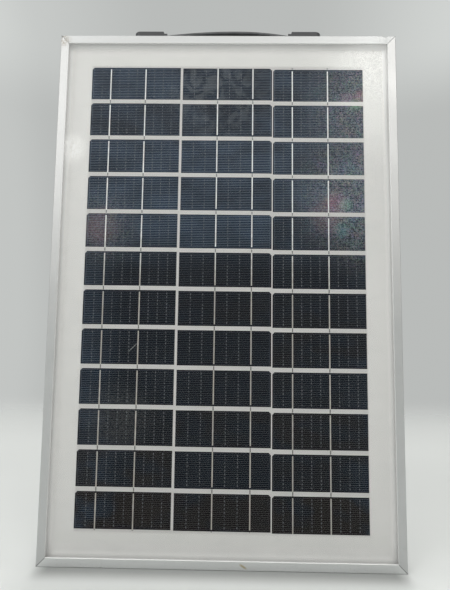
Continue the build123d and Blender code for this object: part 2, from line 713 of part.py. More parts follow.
with BuildPart() as jbox_lid:
    with BuildSketch(layer(LID_REAR)):
        add(BOX_OUTSIDE)
    extrude(amount=LID_THICKNESS)
    fillet(jbox_lid.faces().sort_by(Axis.Y)[-1].edges(), LID_EDGE_ROUND)
    with BuildSketch(layer(BOX_RIM)):
        add(LID_RIM_OUTSIDE)
        add(LID_RIM_INSIDE, mode=Mode.SUBTRACT)
    extrude(amount=LID_RIM_DEPTH)
    with BuildSketch(layer(BOX_RIM)):
        add(GASKET_OUTSIDE)
        add(GASKET_INSIDE, mode=Mode.SUBTRACT)
    extrude(amount=-GASKET_THICKNESS, mode=Mode.SUBTRACT)
    for x in KNUCKLES:
        with BuildSketch(Plane.YZ.offset(x)):
            Polygon(
                (y_at(BOX_RIM) + KNUCKLE_LIFT, BOX_TOP - KNUCKLE_ROOT),
                (y_at(LID_REAR) - LID_EDGE_ROUND, BOX_TOP - KNUCKLE_ROOT),
                (y_at(HINGE_DEPTH) + HINGE_BARREL_RADIUS, HINGE_Z),
                (y_at(HINGE_DEPTH) - HINGE_BARREL_RADIUS, HINGE_Z),
                (y_at(BOX_RIM) + KNUCKLE_LIFT, BOX_TOP),
                align=None,
            )
            with Locations(HINGE_POINT):
                Circle(HINGE_BARREL_RADIUS)
                Circle(HINGE_PIN_RADIUS + HINGE_RUNNING_CLEARANCE, mode=Mode.SUBTRACT)
        extrude(amount=KNUCKLE_LENGTH / 2, both=True)
    with BuildSketch(layer(LID_REAR - LID_EDGE_ROUND)):
        with Locations((-SNAP_X, BOX_BOTTOM), (SNAP_X, BOX_BOTTOM)):
            Rectangle(SNAP_WIDTH, SNAP_GAP + SNAP_THICKNESS, align=(Align.CENTER, Align.MAX))
    extrude(amount=LID_THICKNESS - LID_EDGE_ROUND)
finish(jbox_lid.part, "jbox_lid")

with BuildPart() as jbox_gasket:
    with BuildSketch(layer(BOX_RIM + GASKET_THICKNESS)):
        add(GASKET_OUTSIDE)
        add(GASKET_INSIDE, mode=Mode.SUBTRACT)
    extrude(amount=GASKET_THICKNESS)
finish(jbox_gasket.part, "jbox_gasket")

with BuildPart() as jbox_lid_snaps:
    with BuildSketch(layer(BOX_RIM)):
        with Locations((-SNAP_X, BOX_BOTTOM - SNAP_GAP), (SNAP_X, BOX_BOTTOM - SNAP_GAP)):
            Rectangle(SNAP_WIDTH, SNAP_THICKNESS, align=(Align.CENTER, Align.MAX))
    extrude(amount=SNAP_LENGTH)
    with BuildSketch(layer(BOX_RIM - SNAP_LENGTH + SNAP_BEAD_LENGTH)):
        with Locations((-SNAP_X, BOX_BOTTOM - SNAP_GAP), (SNAP_X, BOX_BOTTOM - SNAP_GAP)):
            Rectangle(SNAP_WIDTH, SNAP_BEAD, align=(Align.CENTER, Align.MIN))
    extrude(amount=SNAP_BEAD_LENGTH)
finish(jbox_lid_snaps.part, "jbox_lid_snaps")

with BuildPart() as jbox_hinge_pin:
    with BuildSketch(Plane.YZ):
        with Locations(HINGE_POINT):
            Circle(HINGE_PIN_RADIUS)
    extrude(amount=max(LUGS) + LUG_LENGTH / 2, both=True)
finish(jbox_hinge_pin.part, "jbox_hinge_pin")

with BuildPart() as terminal_plates:
    with BuildSketch(layer(PLATE_REAR)):
        with Locations((-PLATE_X, PLATE_Z), (PLATE_X, PLATE_Z)):
            Rectangle(PLATE_WIDTH, PLATE_HEIGHT)
        with Locations(*TERMINAL_PLACES):
            Circle(TERMINAL_SCREW_RADIUS + THREAD_PLAY, mode=Mode.SUBTRACT)
    extrude(amount=PLATE_THICKNESS)
finish(terminal_plates.part, "terminal_plates")

with BuildPart() as terminal_screws:
    with BuildSketch(layer(PLATE_REAR)):
        with Locations(*TERMINAL_PLACES):
            Circle(TERMINAL_HEAD_RADIUS)
    extrude(amount=-TERMINAL_HEAD_HEIGHT)
    with BuildSketch(layer(PLATE_REAR)):
        with Locations(*TERMINAL_PLACES):
            Circle(TERMINAL_SCREW_RADIUS)
    extrude(amount=TERMINAL_SCREW_LENGTH)
    with BuildSketch(layer(PLATE_REAR + TERMINAL_HEAD_HEIGHT)):
        with Locations(*TERMINAL_PLACES):
            Rectangle(TERMINAL_SLOT_WIDTH, 2 * TERMINAL_HEAD_RADIUS)
    extrude(amount=TERMINAL_SLOT_DEPTH, mode=Mode.SUBTRACT)
finish(terminal_screws.part, "terminal_screws")

DIODE_POINT = (y_at(PLATE_REAR + DIODE_WIRE_RADIUS), BOX_Z - DIODE_DROP)

with BuildPart() as bypass_diode:
    with BuildSketch(Plane.YZ):
        with Locations(DIODE_POINT):
            Circle(DIODE_RADIUS)
    extrude(amount=DIODE_LENGTH / 2, both=True)
    fillet(bypass_diode.edges().filter_by(GeomType.CIRCLE), DIODE_EDGE_ROUND)
finish(bypass_diode.part, "bypass_diode")

with BuildPart() as diode_leads:
    for side in (-1, 1):
        with BuildSketch(Plane.YZ.offset(side * DIODE_LENGTH / 2)):
            with Locations(DIODE_POINT):
                Circle(DIODE_WIRE_RADIUS)
        extrude(amount=side * (PLATE_X - DIODE_LENGTH / 2))
finish(diode_leads.part, "diode_leads")

NUT_TOP = BOX_BOTTOM - GLAND_NUT_STANDOFF
NUT_END = NUT_TOP - GLAND_NUT_LENGTH

with BuildPart() as gland_seal:
    with BuildSketch(Plane.XY.offset(NUT_END + GLAND_NUT_FACE)):
        with Locations(SPOUT_POINT):
            Circle(GLAND_SEAL_RADIUS)
            Circle(GLAND_SEAL_BORE, mode=Mode.SUBTRACT)
    extrude(amount=GLAND_SEAL_LENGTH)
finish(gland_seal.part, "gland_seal")

with BuildPart() as gland_nut:
    with BuildSketch(Plane.XY.offset(NUT_END)):
        with Locations(SPOUT_POINT):
            Circle(GLAND_NUT_RADIUS)
            with PolarLocations(GLAND_NUT_RADIUS, GLAND_GRIPS):
                Circle(GLAND_GRIP_RADIUS, mode=Mode.SUBTRACT)
    extrude(amount=GLAND_NUT_LENGTH)
    with BuildSketch(Plane.XY.offset(NUT_END + GLAND_NUT_FACE)):
        with Locations(SPOUT_POINT):
            Circle(SPOUT_RADIUS + GLAND_NUT_CLEARANCE)
    extrude(amount=GLAND_NUT_LENGTH - GLAND_NUT_FACE, mode=Mode.SUBTRACT)
    with BuildSketch(Plane.XY.offset(NUT_END)):
        with Locations(SPOUT_POINT):
            Circle(GLAND_NUT_MOUTH)
    extrude(amount=GLAND_NUT_FACE, mode=Mode.SUBTRACT)
finish(gland_nut.part, "gland_nut")

# ================================================================ carrying strap

STRAP_MIDDLE_Y = y_at(STRAP_DEPTH)
STRAP_PLANE = Plane.XZ.offset(FRAME_DEPTH - STRAP_DEPTH)
SCREW_POINTS = [(-SCREW_X, STRAP_MIDDLE_Y), (SCREW_X, STRAP_MIDDLE_Y)]


def strap_side_view():
    """The whole strap seen from the front: flat under the caps, with one low arch between them."""
    low = FRAME_TOP + STRAP_SEAT
    high = low + STRAP_THICKNESS
    climb = 2 * STRAP_RISE / (STRAP_PEAK_X + CAP_INNER_X)
    fall = 2 * STRAP_RISE / (STRAP_PEAK_X - CAP_INNER_X)
    slopes = [(1, climb), (1, 0), (1, fall)]
    with BuildSketch() as side_view:
        with BuildLine():
            Line((-STRAP_END_X, low), (-CAP_INNER_X, low))
            Spline((-CAP_INNER_X, low), (STRAP_PEAK_X, low + STRAP_RISE), (CAP_INNER_X, low), tangents=slopes)
            Line((CAP_INNER_X, low), (STRAP_END_X, low))
            Line((STRAP_END_X, low), (STRAP_END_X, high))
            Line((-CAP_INNER_X, high), (-STRAP_END_X, high))
            Spline((-CAP_INNER_X, high), (STRAP_PEAK_X, high + STRAP_RISE), (CAP_INNER_X, high), tangents=slopes)
            Line((CAP_INNER_X, high), (STRAP_END_X, high))
            Line((-STRAP_END_X, low), (-STRAP_END_X, high))
        make_face()
    return side_view.sketch


STRAP_SIDE_VIEW = strap_side_view()

with BuildPart() as handle_strap_grip:
    with BuildSketch(STRAP_PLANE):
        add(STRAP_SIDE_VIEW)
    extrude(amount=STRAP_WIDTH / 2, both=True)
    split(bisect_by=Plane.YZ.offset(STRAP_GRIP_X), keep=Keep.BOTTOM)
    split(bisect_by=Plane.YZ.offset(-STRAP_GRIP_X), keep=Keep.TOP)
finish(handle_strap_grip.part, "handle_strap_grip")

for side, node, kept in ((1, "handle_strap_right", Keep.TOP), (-1, "handle_strap_left", Keep.BOTTOM)):
    with BuildPart() as strap_end:
        with BuildSketch(STRAP_PLANE):
            add(STRAP_SIDE_VIEW)
        extrude(amount=STRAP_WIDTH / 2, both=True)
        split(bisect_by=Plane.YZ.offset(side * STRAP_GRIP_X), keep=kept)
        with BuildSketch(Plane.XY.offset(FRAME_TOP)):
            with Locations((side * (SCREW_X + STRAP_SLOT_TRAVEL / 2), STRAP_MIDDLE_Y)):
                SlotCenterToCenter(STRAP_SLOT_TRAVEL, STRAP_SLOT_WIDTH)
        extrude(amount=CAP_HEIGHT, mode=Mode.SUBTRACT)
    finish(strap_end.part, node)

with BuildPart() as handle_cap_right:
    with BuildSketch(Plane.XY.offset(FRAME_TOP)):
        with Locations(((CAP_INNER_X + CAP_OUTER_X) / 2, STRAP_MIDDLE_Y)):
            outline = Rectangle(CAP_OUTER_X - CAP_INNER_X, CAP_WIDTH)
        fillet(outline.vertices().group_by(Axis.X)[-1], CAP_CORNER)
    extrude(amount=CAP_HEIGHT)
    with BuildSketch(STRAP_PLANE):
        Polygon(
            (CAP_INNER_X, FRAME_TOP + CAP_CHEEK_HEIGHT),
            (CAP_TOP_X - CAP_SLOPE, FRAME_TOP + CAP_CHEEK_HEIGHT),
            (CAP_TOP_X, FRAME_TOP + CAP_HEIGHT),
            (CAP_INNER_X, FRAME_TOP + CAP_HEIGHT),
            align=None,
        )
    extrude(amount=CAP_WIDTH / 2, both=True, mode=Mode.SUBTRACT)
    fillet(handle_cap_right.faces().sort_by(Axis.Z)[-1].edges(), CAP_TOP_ROUND)
    with BuildSketch(Plane.XY.offset(FRAME_TOP)):
        with Locations((CAP_INNER_X, STRAP_MIDDLE_Y)):
            hollow = Rectangle(
                CAP_OUTER_X - CAP_INNER_X - CAP_WALL,
                STRAP_WIDTH + 2 * STRAP_SIDE_PLAY,
                align=(Align.MIN, Align.CENTER),
            )
        fillet(hollow.vertices().group_by(Axis.X)[-1], CAP_CORNER - CAP_WALL)
    extrude(amount=CAP_CEILING, mode=Mode.SUBTRACT)
    with BuildSketch(Plane.XY.offset(FRAME_TOP + BOSS_SEAT)):
        with Locations(SCREW_POINTS[1]):
            Circle(BOSS_RADIUS)
    extrude(amount=CAP_CEILING - BOSS_SEAT)
    with Locations((SCREW_X, STRAP_MIDDLE_Y, FRAME_TOP + CAP_HEIGHT)):
        CounterSinkHole(SCREW_CLEARANCE_RADIUS, SCREW_SINK_RADIUS)
finish(handle_cap_right.part, "handle_cap_right")

with BuildPart() as handle_cap_left:
    mirror(handle_cap_right.part, about=Plane.YZ)
finish(handle_cap_left.part, "handle_cap_left")

SCREW_TOP = FRAME_TOP + CAP_HEIGHT - SCREW_SUNK

with BuildPart() as handle_screws:
    with BuildSketch(Plane.XY.offset(SCREW_TOP)):
        with Locations(*SCREW_POINTS):
            Circle(SCREW_HEAD_RADIUS)
    extrude(amount=SCREW_RADIUS - SCREW_HEAD_RADIUS, taper=HEAD_TAPER)
    with BuildSketch(Plane.XY.offset(SCREW_TOP)):
        with Locations(*SCREW_POINTS):
            Circle(SCREW_RADIUS)
    extrude(amount=-SCREW_LENGTH)
    with BuildSketch(Plane.XY.offset(SCREW_TOP)):
        with Locations(*SCREW_POINTS):
            Rectangle(DRIVE_SPAN, DRIVE_WIDTH)
            Rectangle(DRIVE_WIDTH, DRIVE_SPAN)
    extrude(amount=-DRIVE_DEPTH, mode=Mode.SUBTRACT)
finish(handle_screws.part, "handle_screws")

with BuildPart() as handle_rivet_nuts:
    with BuildSketch(Plane.XY.offset(FRAME_TOP)):
        with Locations(*SCREW_POINTS):
            Circle(NUT_FLANGE_RADIUS)
    extrude(amount=NUT_FLANGE_THICKNESS)
    with BuildSketch(Plane.XY.offset(FRAME_TOP)):
        with Locations(*SCREW_POINTS):
            Circle(NUT_RADIUS)
    extrude(amount=-NUT_LENGTH)
    with BuildSketch(Plane.XY.offset(FRAME_TOP - WALL)):
        with Locations(*SCREW_POINTS):
            Circle(NUT_BULGE_RADIUS)
    extrude(amount=-NUT_BULGE_LENGTH)
    with BuildSketch(Plane.XY.offset(FRAME_TOP + NUT_FLANGE_THICKNESS)):
        with Locations(*SCREW_POINTS):
            Circle(NUT_BORE)
    extrude(amount=-NUT_LENGTH - NUT_FLANGE_THICKNESS, mode=Mode.SUBTRACT)
finish(handle_rivet_nuts.part, "handle_rivet_nuts")
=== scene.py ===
import json
import math

import bmesh
import bpy
from mathutils import Euler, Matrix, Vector


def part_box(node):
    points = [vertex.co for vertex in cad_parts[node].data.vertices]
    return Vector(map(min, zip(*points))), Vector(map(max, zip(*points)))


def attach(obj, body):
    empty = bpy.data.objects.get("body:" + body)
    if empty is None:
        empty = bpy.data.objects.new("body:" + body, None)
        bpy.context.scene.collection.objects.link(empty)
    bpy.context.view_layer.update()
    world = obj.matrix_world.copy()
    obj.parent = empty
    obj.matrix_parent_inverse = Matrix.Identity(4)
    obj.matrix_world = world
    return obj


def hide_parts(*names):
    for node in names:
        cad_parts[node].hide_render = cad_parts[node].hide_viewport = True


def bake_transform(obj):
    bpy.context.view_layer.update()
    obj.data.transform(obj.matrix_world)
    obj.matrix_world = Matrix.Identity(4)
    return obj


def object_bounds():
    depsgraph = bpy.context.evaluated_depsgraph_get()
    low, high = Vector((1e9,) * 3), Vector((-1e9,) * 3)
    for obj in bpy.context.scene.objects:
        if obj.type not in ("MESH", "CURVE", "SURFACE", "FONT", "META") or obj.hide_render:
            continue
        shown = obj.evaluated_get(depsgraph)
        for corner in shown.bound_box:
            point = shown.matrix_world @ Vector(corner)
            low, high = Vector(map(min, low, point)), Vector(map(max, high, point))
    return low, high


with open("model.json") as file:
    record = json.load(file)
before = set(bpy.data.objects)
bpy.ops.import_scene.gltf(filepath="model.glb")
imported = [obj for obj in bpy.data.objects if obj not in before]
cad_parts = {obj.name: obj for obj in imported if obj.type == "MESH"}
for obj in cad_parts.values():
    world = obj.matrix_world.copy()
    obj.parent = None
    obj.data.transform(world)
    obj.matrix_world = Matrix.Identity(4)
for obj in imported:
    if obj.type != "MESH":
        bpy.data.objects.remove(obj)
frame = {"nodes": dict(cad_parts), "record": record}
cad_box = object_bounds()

# Looks for the small framed solar panel. Metres, in the frame of the CAD model: glass facing -Y, +Z up
# towards the carrying strap. Each CAD node keeps its shape and gets a material here, or a piece with
# rounded edges stands for it.

MM = 0.001
NODES = frame["nodes"]
BODY_OF = {node: body for body, nodes in frame["record"]["behaviour"]["bodies"].items() for node in nodes}
SLOT_OF = {part["node"]: part["material_slot"] for part in frame["record"]["subparts"]}

# ---- frame and cells, as in the CAD model
FRONT_Y = -25.0 * MM
OUTER_X = 148.5 * MM
OUTER_Z = 226.0 * MM
LIP_FLAT = 7.05 * MM
ROWS = 12
ROW_PITCH = 33.38 * MM
CELL_WIDTH = 79.4 * MM
CELL_HEIGHT = 29.7 * MM
NARROW_MARGIN = 17.0 * MM
BUSBAR_PITCH = 31.2 * MM
# Each string's middle and lift, the side of its cells' narrow margin, the dot columns to a busbar pitch,
# where the dots start from that side, and a seed for the cells' shades.
STRINGS = {
    "left": {"x": -81.1 * MM, "lift": 0.4 * MM, "narrow": -1, "divisions": 4, "dots_from": 3 * MM, "seed": 3},
    "middle": {"x": 0.4 * MM, "lift": 0.0, "narrow": 1, "divisions": 3, "dots_from": 15 * MM, "seed": 11},
    "right": {"x": 80.8 * MM, "lift": -0.9 * MM, "narrow": -1, "divisions": 4, "dots_from": 3 * MM, "seed": 29},
}
FINGER_PITCH = 1.5 * MM
FINGER_WIDTH = 0.24 * MM
FINGER_INSET = 0.95 * MM
BORDER_INSET = 1.25 * MM
BORDER_WIDTH = 0.28 * MM
DOT_PITCH = 3.0 * MM
DOT_WIDTH = 0.68 * MM
DOT_LENGTH = 1.4 * MM
PRINT_EDGE = 0.1 * MM
SPARK_SIZE = 0.85 * MM
CELL_FACE_Y = -19.5 * MM


def on_cells(x, z):
    """A point on the cells' face, from its millimetres across and up."""
    return x * MM, CELL_FACE_Y, z * MM


# ---- what the photo shows at one place of the front: its centre, and how far it reaches
# Painted sparkle of the glass, in three places.
UPPER_SPARKLE = (on_cells(140, 162), 84 * MM)
LOWER_SPARKLE = (on_cells(130, 84), 84 * MM)
LEFT_SPARKLE = (on_cells(-108, 54), 44 * MM)
# Painted highlight and glints at the film's upper right corner.
BRIGHT_CORNER = (on_cells(144, 210), 58 * MM)
GLOSSY_CORNER = (on_cells(146, 186), 90 * MM)
# Painted glint on the left margin.
LAMP_SPOT = (on_cells(-137, 124), 17 * MM)
WIPED_PATCH = (on_cells(-8, 178), 58 * MM)
DUSTY_PATCH = (on_cells(-88, -108), 36 * MM)
# Where the painted sheen of the cells is weaker.
DARKER_TOP = (on_cells(0, 190), 70 * MM)
# Painted highlight on the ribbons.
BRIGHT_RIBBONS = (on_cells(117, 120), 160 * MM)
SCRATCH = (on_cells(-77, -50.5), 6.5 * MM)
STAIN = ((17.8 * MM, FRONT_Y, -222.6 * MM), 4.2 * MM)
WORN_CORNER = ((-146 * MM, FRONT_Y, 222 * MM), 9 * MM)
# Painted rainbow glints of the glass: centre, reach and tint.
RAINBOWS = (
    (on_cells(114, 166), 8 * MM, (0.10, 0.26, 0.10)),
    (on_cells(120, 172), 10 * MM, (0.30, 0.10, 0.14)),
    (on_cells(107, 170), 9 * MM, (0.22, 0.10, 0.16)),
    (on_cells(104, 75), 8 * MM, (0.08, 0.24, 0.11)),
    (on_cells(96, 78), 13 * MM, (0.20, 0.08, 0.10)),
    (on_cells(100, 52), 9 * MM, (0.03, 0.13, 0.13)),
    (on_cells(88, 66), 20 * MM, (0.13, 0.05, 0.05)),
    (on_cells(-109, 53), 22 * MM, (0.14, 0.06, 0.05)),
)

# ================================================================ camera and lights

CAMERA_LOCATION = (6.4 * MM, -398.5 * MM, -39.6 * MM)
CAMERA_TURN = (95.22503, -0.72733, 0.80741)
CAMERA_LENS = 27.21
SENSOR_WIDTH = 36.0

camera_data = bpy.data.cameras.new("camera")
camera_data.lens = CAMERA_LENS
camera_data.sensor_width = SENSOR_WIDTH
camera_data.clip_start = 0.01
camera = bpy.data.objects.new("camera", camera_data)
camera.location = CAMERA_LOCATION
camera.rotation_euler = Euler([math.radians(angle) for angle in CAMERA_TURN])
bpy.context.collection.objects.link(camera)
bpy.context.scene.camera = camera
bpy.context.scene.view_settings.view_transform = "Standard"


def area_light(name, place, target, size, power, colour):
    """A soft rectangular light that the camera doesn't see."""
    data = bpy.data.lights.new(name, "AREA")
    data.shape = "RECTANGLE"
    data.size, data.size_y = size
    data.energy = power
    data.color = colour
    light = bpy.data.objects.new(name, data)
    light.location = place
    light.rotation_euler = (Vector(target) - Vector(place)).to_track_quat("-Z", "Y").to_euler()
    light.visible_camera = False
    bpy.context.collection.objects.link(light)


area_light("softbox", (-0.1, -1.9, 1.6), (0, 0, 0.05), (4.0, 2.2), 38, (1.0, 0.985, 0.965))
area_light("window", (1.0, -1.85, 1.65), (0.12, 0, 0.2), (0.4, 0.5), 4.2, (1.0, 0.985, 0.96))
area_light("side", (-1.5, -1.4, 1.1), (-0.12, 0, 0.15), (1.0, 1.2), 10, (0.97, 0.985, 1.0))
area_light("behind", (0.1, 1.6, 1.5), (0, 0, 0), (1.6, 1.2), 19, (1.0, 0.99, 0.97))

# ================================================================ material recipes


def add_node(tree, kind, inputs=None, output=0, **settings):
    """Adds a node to a tree. Inputs are numbers or colours to set, or sockets to link."""
    made = tree.nodes.new("ShaderNode" + kind)
    for key, value in settings.items():
        setattr(made, key, value)
    for key, value in (inputs or {}).items():
        if isinstance(value, bpy.types.NodeSocket):
            tree.links.new(value, made.inputs[key])
        else:
            made.inputs[key].default_value = value
    return made.outputs[output]


def add_ramp(tree, value, start, end, low, high):
    """Goes smoothly from low to high as the value goes from start to end."""
    inputs = {0: value, 1: start, 2: end, 3: low, 4: high}
    return add_node(tree, "MapRange", inputs, interpolation_type="SMOOTHSTEP")


def rgba(colour):
    """A colour with its alpha, for a node's input. A socket stays as it is."""
    return colour if isinstance(colour, bpy.types.NodeSocket) else (*colour, 1)


class Recipe:
    """A material being put together. Each method adds nodes and gives back an output socket."""

    def __init__(self, name):
        self.material = bpy.data.materials.new(name)
        self.material.use_nodes = True
        self.tree = self.material.node_tree
        self.tree.nodes.clear()
        self.point = self.node("TexCoord", output="Object")
        split = self.tree.nodes.new("ShaderNodeSeparateXYZ")
        self.tree.links.new(self.point, split.inputs[0])
        self.x, self.y, self.z = split.outputs

    def node(self, kind, inputs=None, output=0, **settings):
        return add_node(self.tree, kind, inputs, output, **settings)

    def math(self, operation, first, second=0.0):
        return self.node("Math", {0: first, 1: second}, operation=operation)

    def plus(self, first, second):
        return self.math("ADD", first, second)

    def minus(self, first, second):
        return self.math("SUBTRACT", first, second)

    def times(self, first, second):
        return self.math("MULTIPLY", first, second)

    def over(self, first, second):
        return self.math("DIVIDE", first, second)

    def larger(self, first, second):
        return self.math("MAXIMUM", first, second)

    def unsigned(self, value):
        return self.math("ABSOLUTE", value)

    def noise(self, size, detail=2.0, stretch=(1, 1, 1), output=0):
        """Soft noise from 0 to 1, with features of about a size in metres, longer along a stretched axis."""
        scale = [1 / (size * way) for way in stretch]
        point = self.node("Mapping", {"Vector": self.point, "Scale": scale})
        return self.node("TexNoise", {"Vector": point, "Scale": 1.0, "Detail": detail}, output)

    def ramp(self, value, start, end, low=0.0, high=1.0):
        return add_ramp(self.tree, value, start, end, low, high)

    def line(self, value, half_width, soften=0.4):
        """1 where the value is within half_width of zero, and 0 outside it."""
        inner, outer = half_width * (1 - soften), half_width * (1 + soften)
        return self.ramp(self.unsigned(value), inner, outer, 1.0, 0.0)

    def stripes(self, value, pitch, half_width):
        """1 on stripes that lie a pitch apart and are centred on the value's multiples of it."""
        turn = self.math("FRACT", self.plus(self.over(value, pitch), 0.5))
        return self.line(self.minus(turn, 0.5), half_width / pitch)

    def mix(self, factor, first, second, blend_type="MIX"):
        """The first colour at factor 0, and the second at factor 1."""
        inputs = {0: factor, 6: rgba(first), 7: rgba(second)}
        return self.node("Mix", inputs, 2, data_type="RGBA", blend_type=blend_type)

    def add(self, factor, first, second):
        """The first colour with a share of the second added to it."""
        return self.mix(factor, first, second, "ADD")

    def grains(self, size):
        """Grains of a size, as a random colour and a random value for each."""
        colours = self.node("TexVoronoi", {"Vector": self.point, "Scale": 1 / size}, "Color")
        return colours, self.node("TexWhiteNoise", {"Vector": colours}, 0)

    def sparks(self, size):
        """Grains of random colour, some bright and some dark."""
        grains, lit = self.grains(size)
        hues = self.mix(0.5, grains, (0.50, 0.55, 0.60))
        drift = self.noise(11 * MM, 2, output=1)
        hues = self.mix(0.45, hues, drift)
        return self.mix(self.ramp(lit, 0.1, 1.0), (0, 0, 0), hues)

    def near(self, centre, radius):
        """1 round a centre, fading to 0 at a radius."""
        away = self.node("VectorMath", {0: self.point, 1: centre}, 1, operation="DISTANCE")
        return self.ramp(away, radius * 0.3, radius, 1.0, 0.0)

    def bump(self, height, depth, normal=None):
        """A normal for relief of a depth in metres, on top of an earlier one."""
        inputs = {"Height": height, "Distance": depth, "Strength": 1.0}
        if normal is not None:
            inputs["Normal"] = normal
        return self.node("Bump", inputs)

    def surface(self, shader):
        output = self.tree.nodes.new("ShaderNodeOutputMaterial")
        self.tree.links.new(shader, output.inputs["Surface"])
        return self.material

    def principled(self, colour, roughness, normal=None, **others):
        """Ends the recipe with one Principled shader. Other inputs are named with underscores for spaces."""
        inputs = {"Base Color": rgba(colour), "Roughness": roughness}
        if normal is not None:
            inputs["Normal"] = normal
        for key, value in others.items():
            inputs[key.replace("_", " ")] = value
        return self.surface(self.node("BsdfPrincipled", inputs))


def anodised_aluminium(name, along):
    """Satin anodised extrusion with fine die lines along x or z, light handling marks and dark mitres.

    Painted highlight: the side bars are painted lighter towards the top, and the face of the bottom bar is
    painted lighter.
    """
    r = Recipe(name)
    drawn_out = (60, 1, 1) if along == "x" else (1, 1, 60)
    die_lines = r.noise(0.35 * MM, 3, drawn_out)
    cloud = r.noise(28 * MM, 3)
    scuffs = r.ramp(r.noise(0.5 * MM, 2, (9, 1, 2)), 0.72, 0.78)
    colour = r.mix(cloud, (0.425, 0.432, 0.43), (0.475, 0.48, 0.475))
    colour = r.mix(r.times(die_lines, 0.22), colour, (0.40, 0.41, 0.42))
    # Painted highlight: the side bars are lighter towards the top.
    if along == "z":
        colour = r.mix(r.ramp(r.z, -70 * MM, 30 * MM), colour, (0.49, 0.49, 0.485))
    else:
        # Painted highlight: the face of the bottom bar is lighter.
        colour = r.mix(r.ramp(r.z, -OUTER_Z + 12 * MM, -OUTER_Z + 8 * MM), colour, (0.59, 0.60, 0.595))
    stain_x, _, stain_z = STAIN[0]
    slant = r.plus(r.times(r.minus(r.x, stain_x), 0.6), r.minus(r.z, stain_z))
    stain = r.times(r.near(*STAIN), r.line(slant, 0.9 * MM, 0.8))
    colour = r.mix(r.times(stain, 0.85), colour, (0.36, 0.30, 0.16))
    mitre = r.minus(r.unsigned(r.z), r.unsigned(r.x))
    grime = r.line(r.minus(mitre, OUTER_Z - OUTER_X), 0.34 * MM)
    colour = r.mix(r.times(grime, 0.9), colour, (0.08, 0.08, 0.08))
    worn = r.times(r.near(*WORN_CORNER), r.ramp(r.noise(0.9 * MM, 3), 0.42, 0.6))
    colour = r.mix(r.times(worn, 0.85), colour, (0.22, 0.19, 0.15))
    flecks = r.ramp(r.noise(0.8 * MM, 3, (1.5, 1, 1)), 0.60, 0.72, 0.0, 0.35)
    colour = r.mix(flecks, colour, (0.33, 0.33, 0.32))
    roughness = r.plus(r.ramp(cloud, 0.2, 0.8, 0.36, 0.44), r.times(scuffs, -0.08))
    normal = r.bump(die_lines, 0.012 * MM, r.bump(r.noise(0.12 * MM, 2), 0.004 * MM))
    if along == "z":
        inset = r.minus(OUTER_X, r.unsigned(r.x))
    else:
        inset = r.minus(OUTER_Z, r.unsigned(r.z))
    # Painted highlight along the inner edge of the lip.
    painted_edge_highlight = r.line(r.minus(inset, LIP_FLAT + 0.2 * MM), 0.2 * MM)
    colour = r.mix(r.times(painted_edge_highlight, 0.6), colour, (0.86, 0.86, 0.85))
    return r.principled(colour, roughness, normal, Metallic=0.62)


def cast_aluminium():
    """Dull cast metal with a coarse grain, for the corner keys."""
    r = Recipe("cast_aluminium")
    grain = r.noise(0.6 * MM, 4)
    colour = r.mix(grain, (0.48, 0.49, 0.50), (0.66, 0.67, 0.68))
    return r.principled(colour, r.ramp(grain, 0.2, 0.8, 0.5, 0.65), r.bump(grain, 0.05 * MM), Metallic=0.9)


def textured_glass():
    """Anti-glare solar glass: almost clear, with a fine dimpled face that breaks up what it mirrors."""
    r = Recipe("textured_glass")
    dimples = r.noise(0.55 * MM, 1)
    normal = r.bump(dimples, 0.08 * MM, r.bump(r.noise(9 * MM, 2), 0.02 * MM))
    smear = r.ramp(r.noise(16 * MM, 4, (1, 1, 0.5)), 0.45, 0.75)
    roughness = r.plus(r.times(smear, 0.1), 0.2)
    mirror = r.node("BsdfAnisotropic", {"Color": (1, 1, 1, 1), "Roughness": roughness, "Normal": normal})
    tint = r.mix(smear, (0.992, 0.996, 0.994), (0.985, 0.99, 0.988))
    clear = r.node("BsdfTransparent", {"Color": tint})
    fresnel = r.node("Fresnel", {"IOR": 1.13})
    return r.surface(r.node("MixShader", {0: fresnel, 1: clear, 2: mirror}))


def clear_film():
    """Clear laminated film, with a trace of milkiness in soft patches."""
    r = Recipe("clear_film")
    clear = r.node("BsdfTransparent", {"Color": (0.99, 0.99, 0.985, 1)})
    milky = r.node("BsdfDiffuse", {"Color": (0.8, 0.81, 0.8, 1), "Roughness": r.noise(5 * MM, 2)})
    cloud = r.ramp(r.noise(14 * MM, 3), 0.4, 0.8, 0.0, 0.002)
    return r.surface(r.node("MixShader", {0: cloud, 1: clear, 2: milky}))


def white_film(name, colour, patch, grain_depth, under_glass=False):
    """White plastic film with soft patches, a fine pressed grain and painted shade towards the bottom."""
    r = Recipe(name)
    cloud = r.noise(patch, 3)
    grain = r.noise(0.7 * MM, 3)
    shade = [channel * 0.94 for channel in colour]
    tone = r.mix(cloud, shade, colour)
    # Painted shade: the film is darker towards the bottom.
    tone = r.mix(r.ramp(r.z, -190 * MM, 190 * MM, 0.12, 0.0), tone, (0.45, 0.45, 0.45))
    tone = r.mix(r.ramp(r.noise(1.3 * MM, 4), 0.66, 0.8, 0.0, 0.12), tone, (0.62, 0.60, 0.56))
    roughness = r.ramp(grain, 0.2, 0.8, 0.36, 0.5)
    light = {}
    if under_glass:
        tone, light = lit_through_glass(r, tone)
    return r.principled(tone, roughness, r.bump(grain, grain_depth), **light)


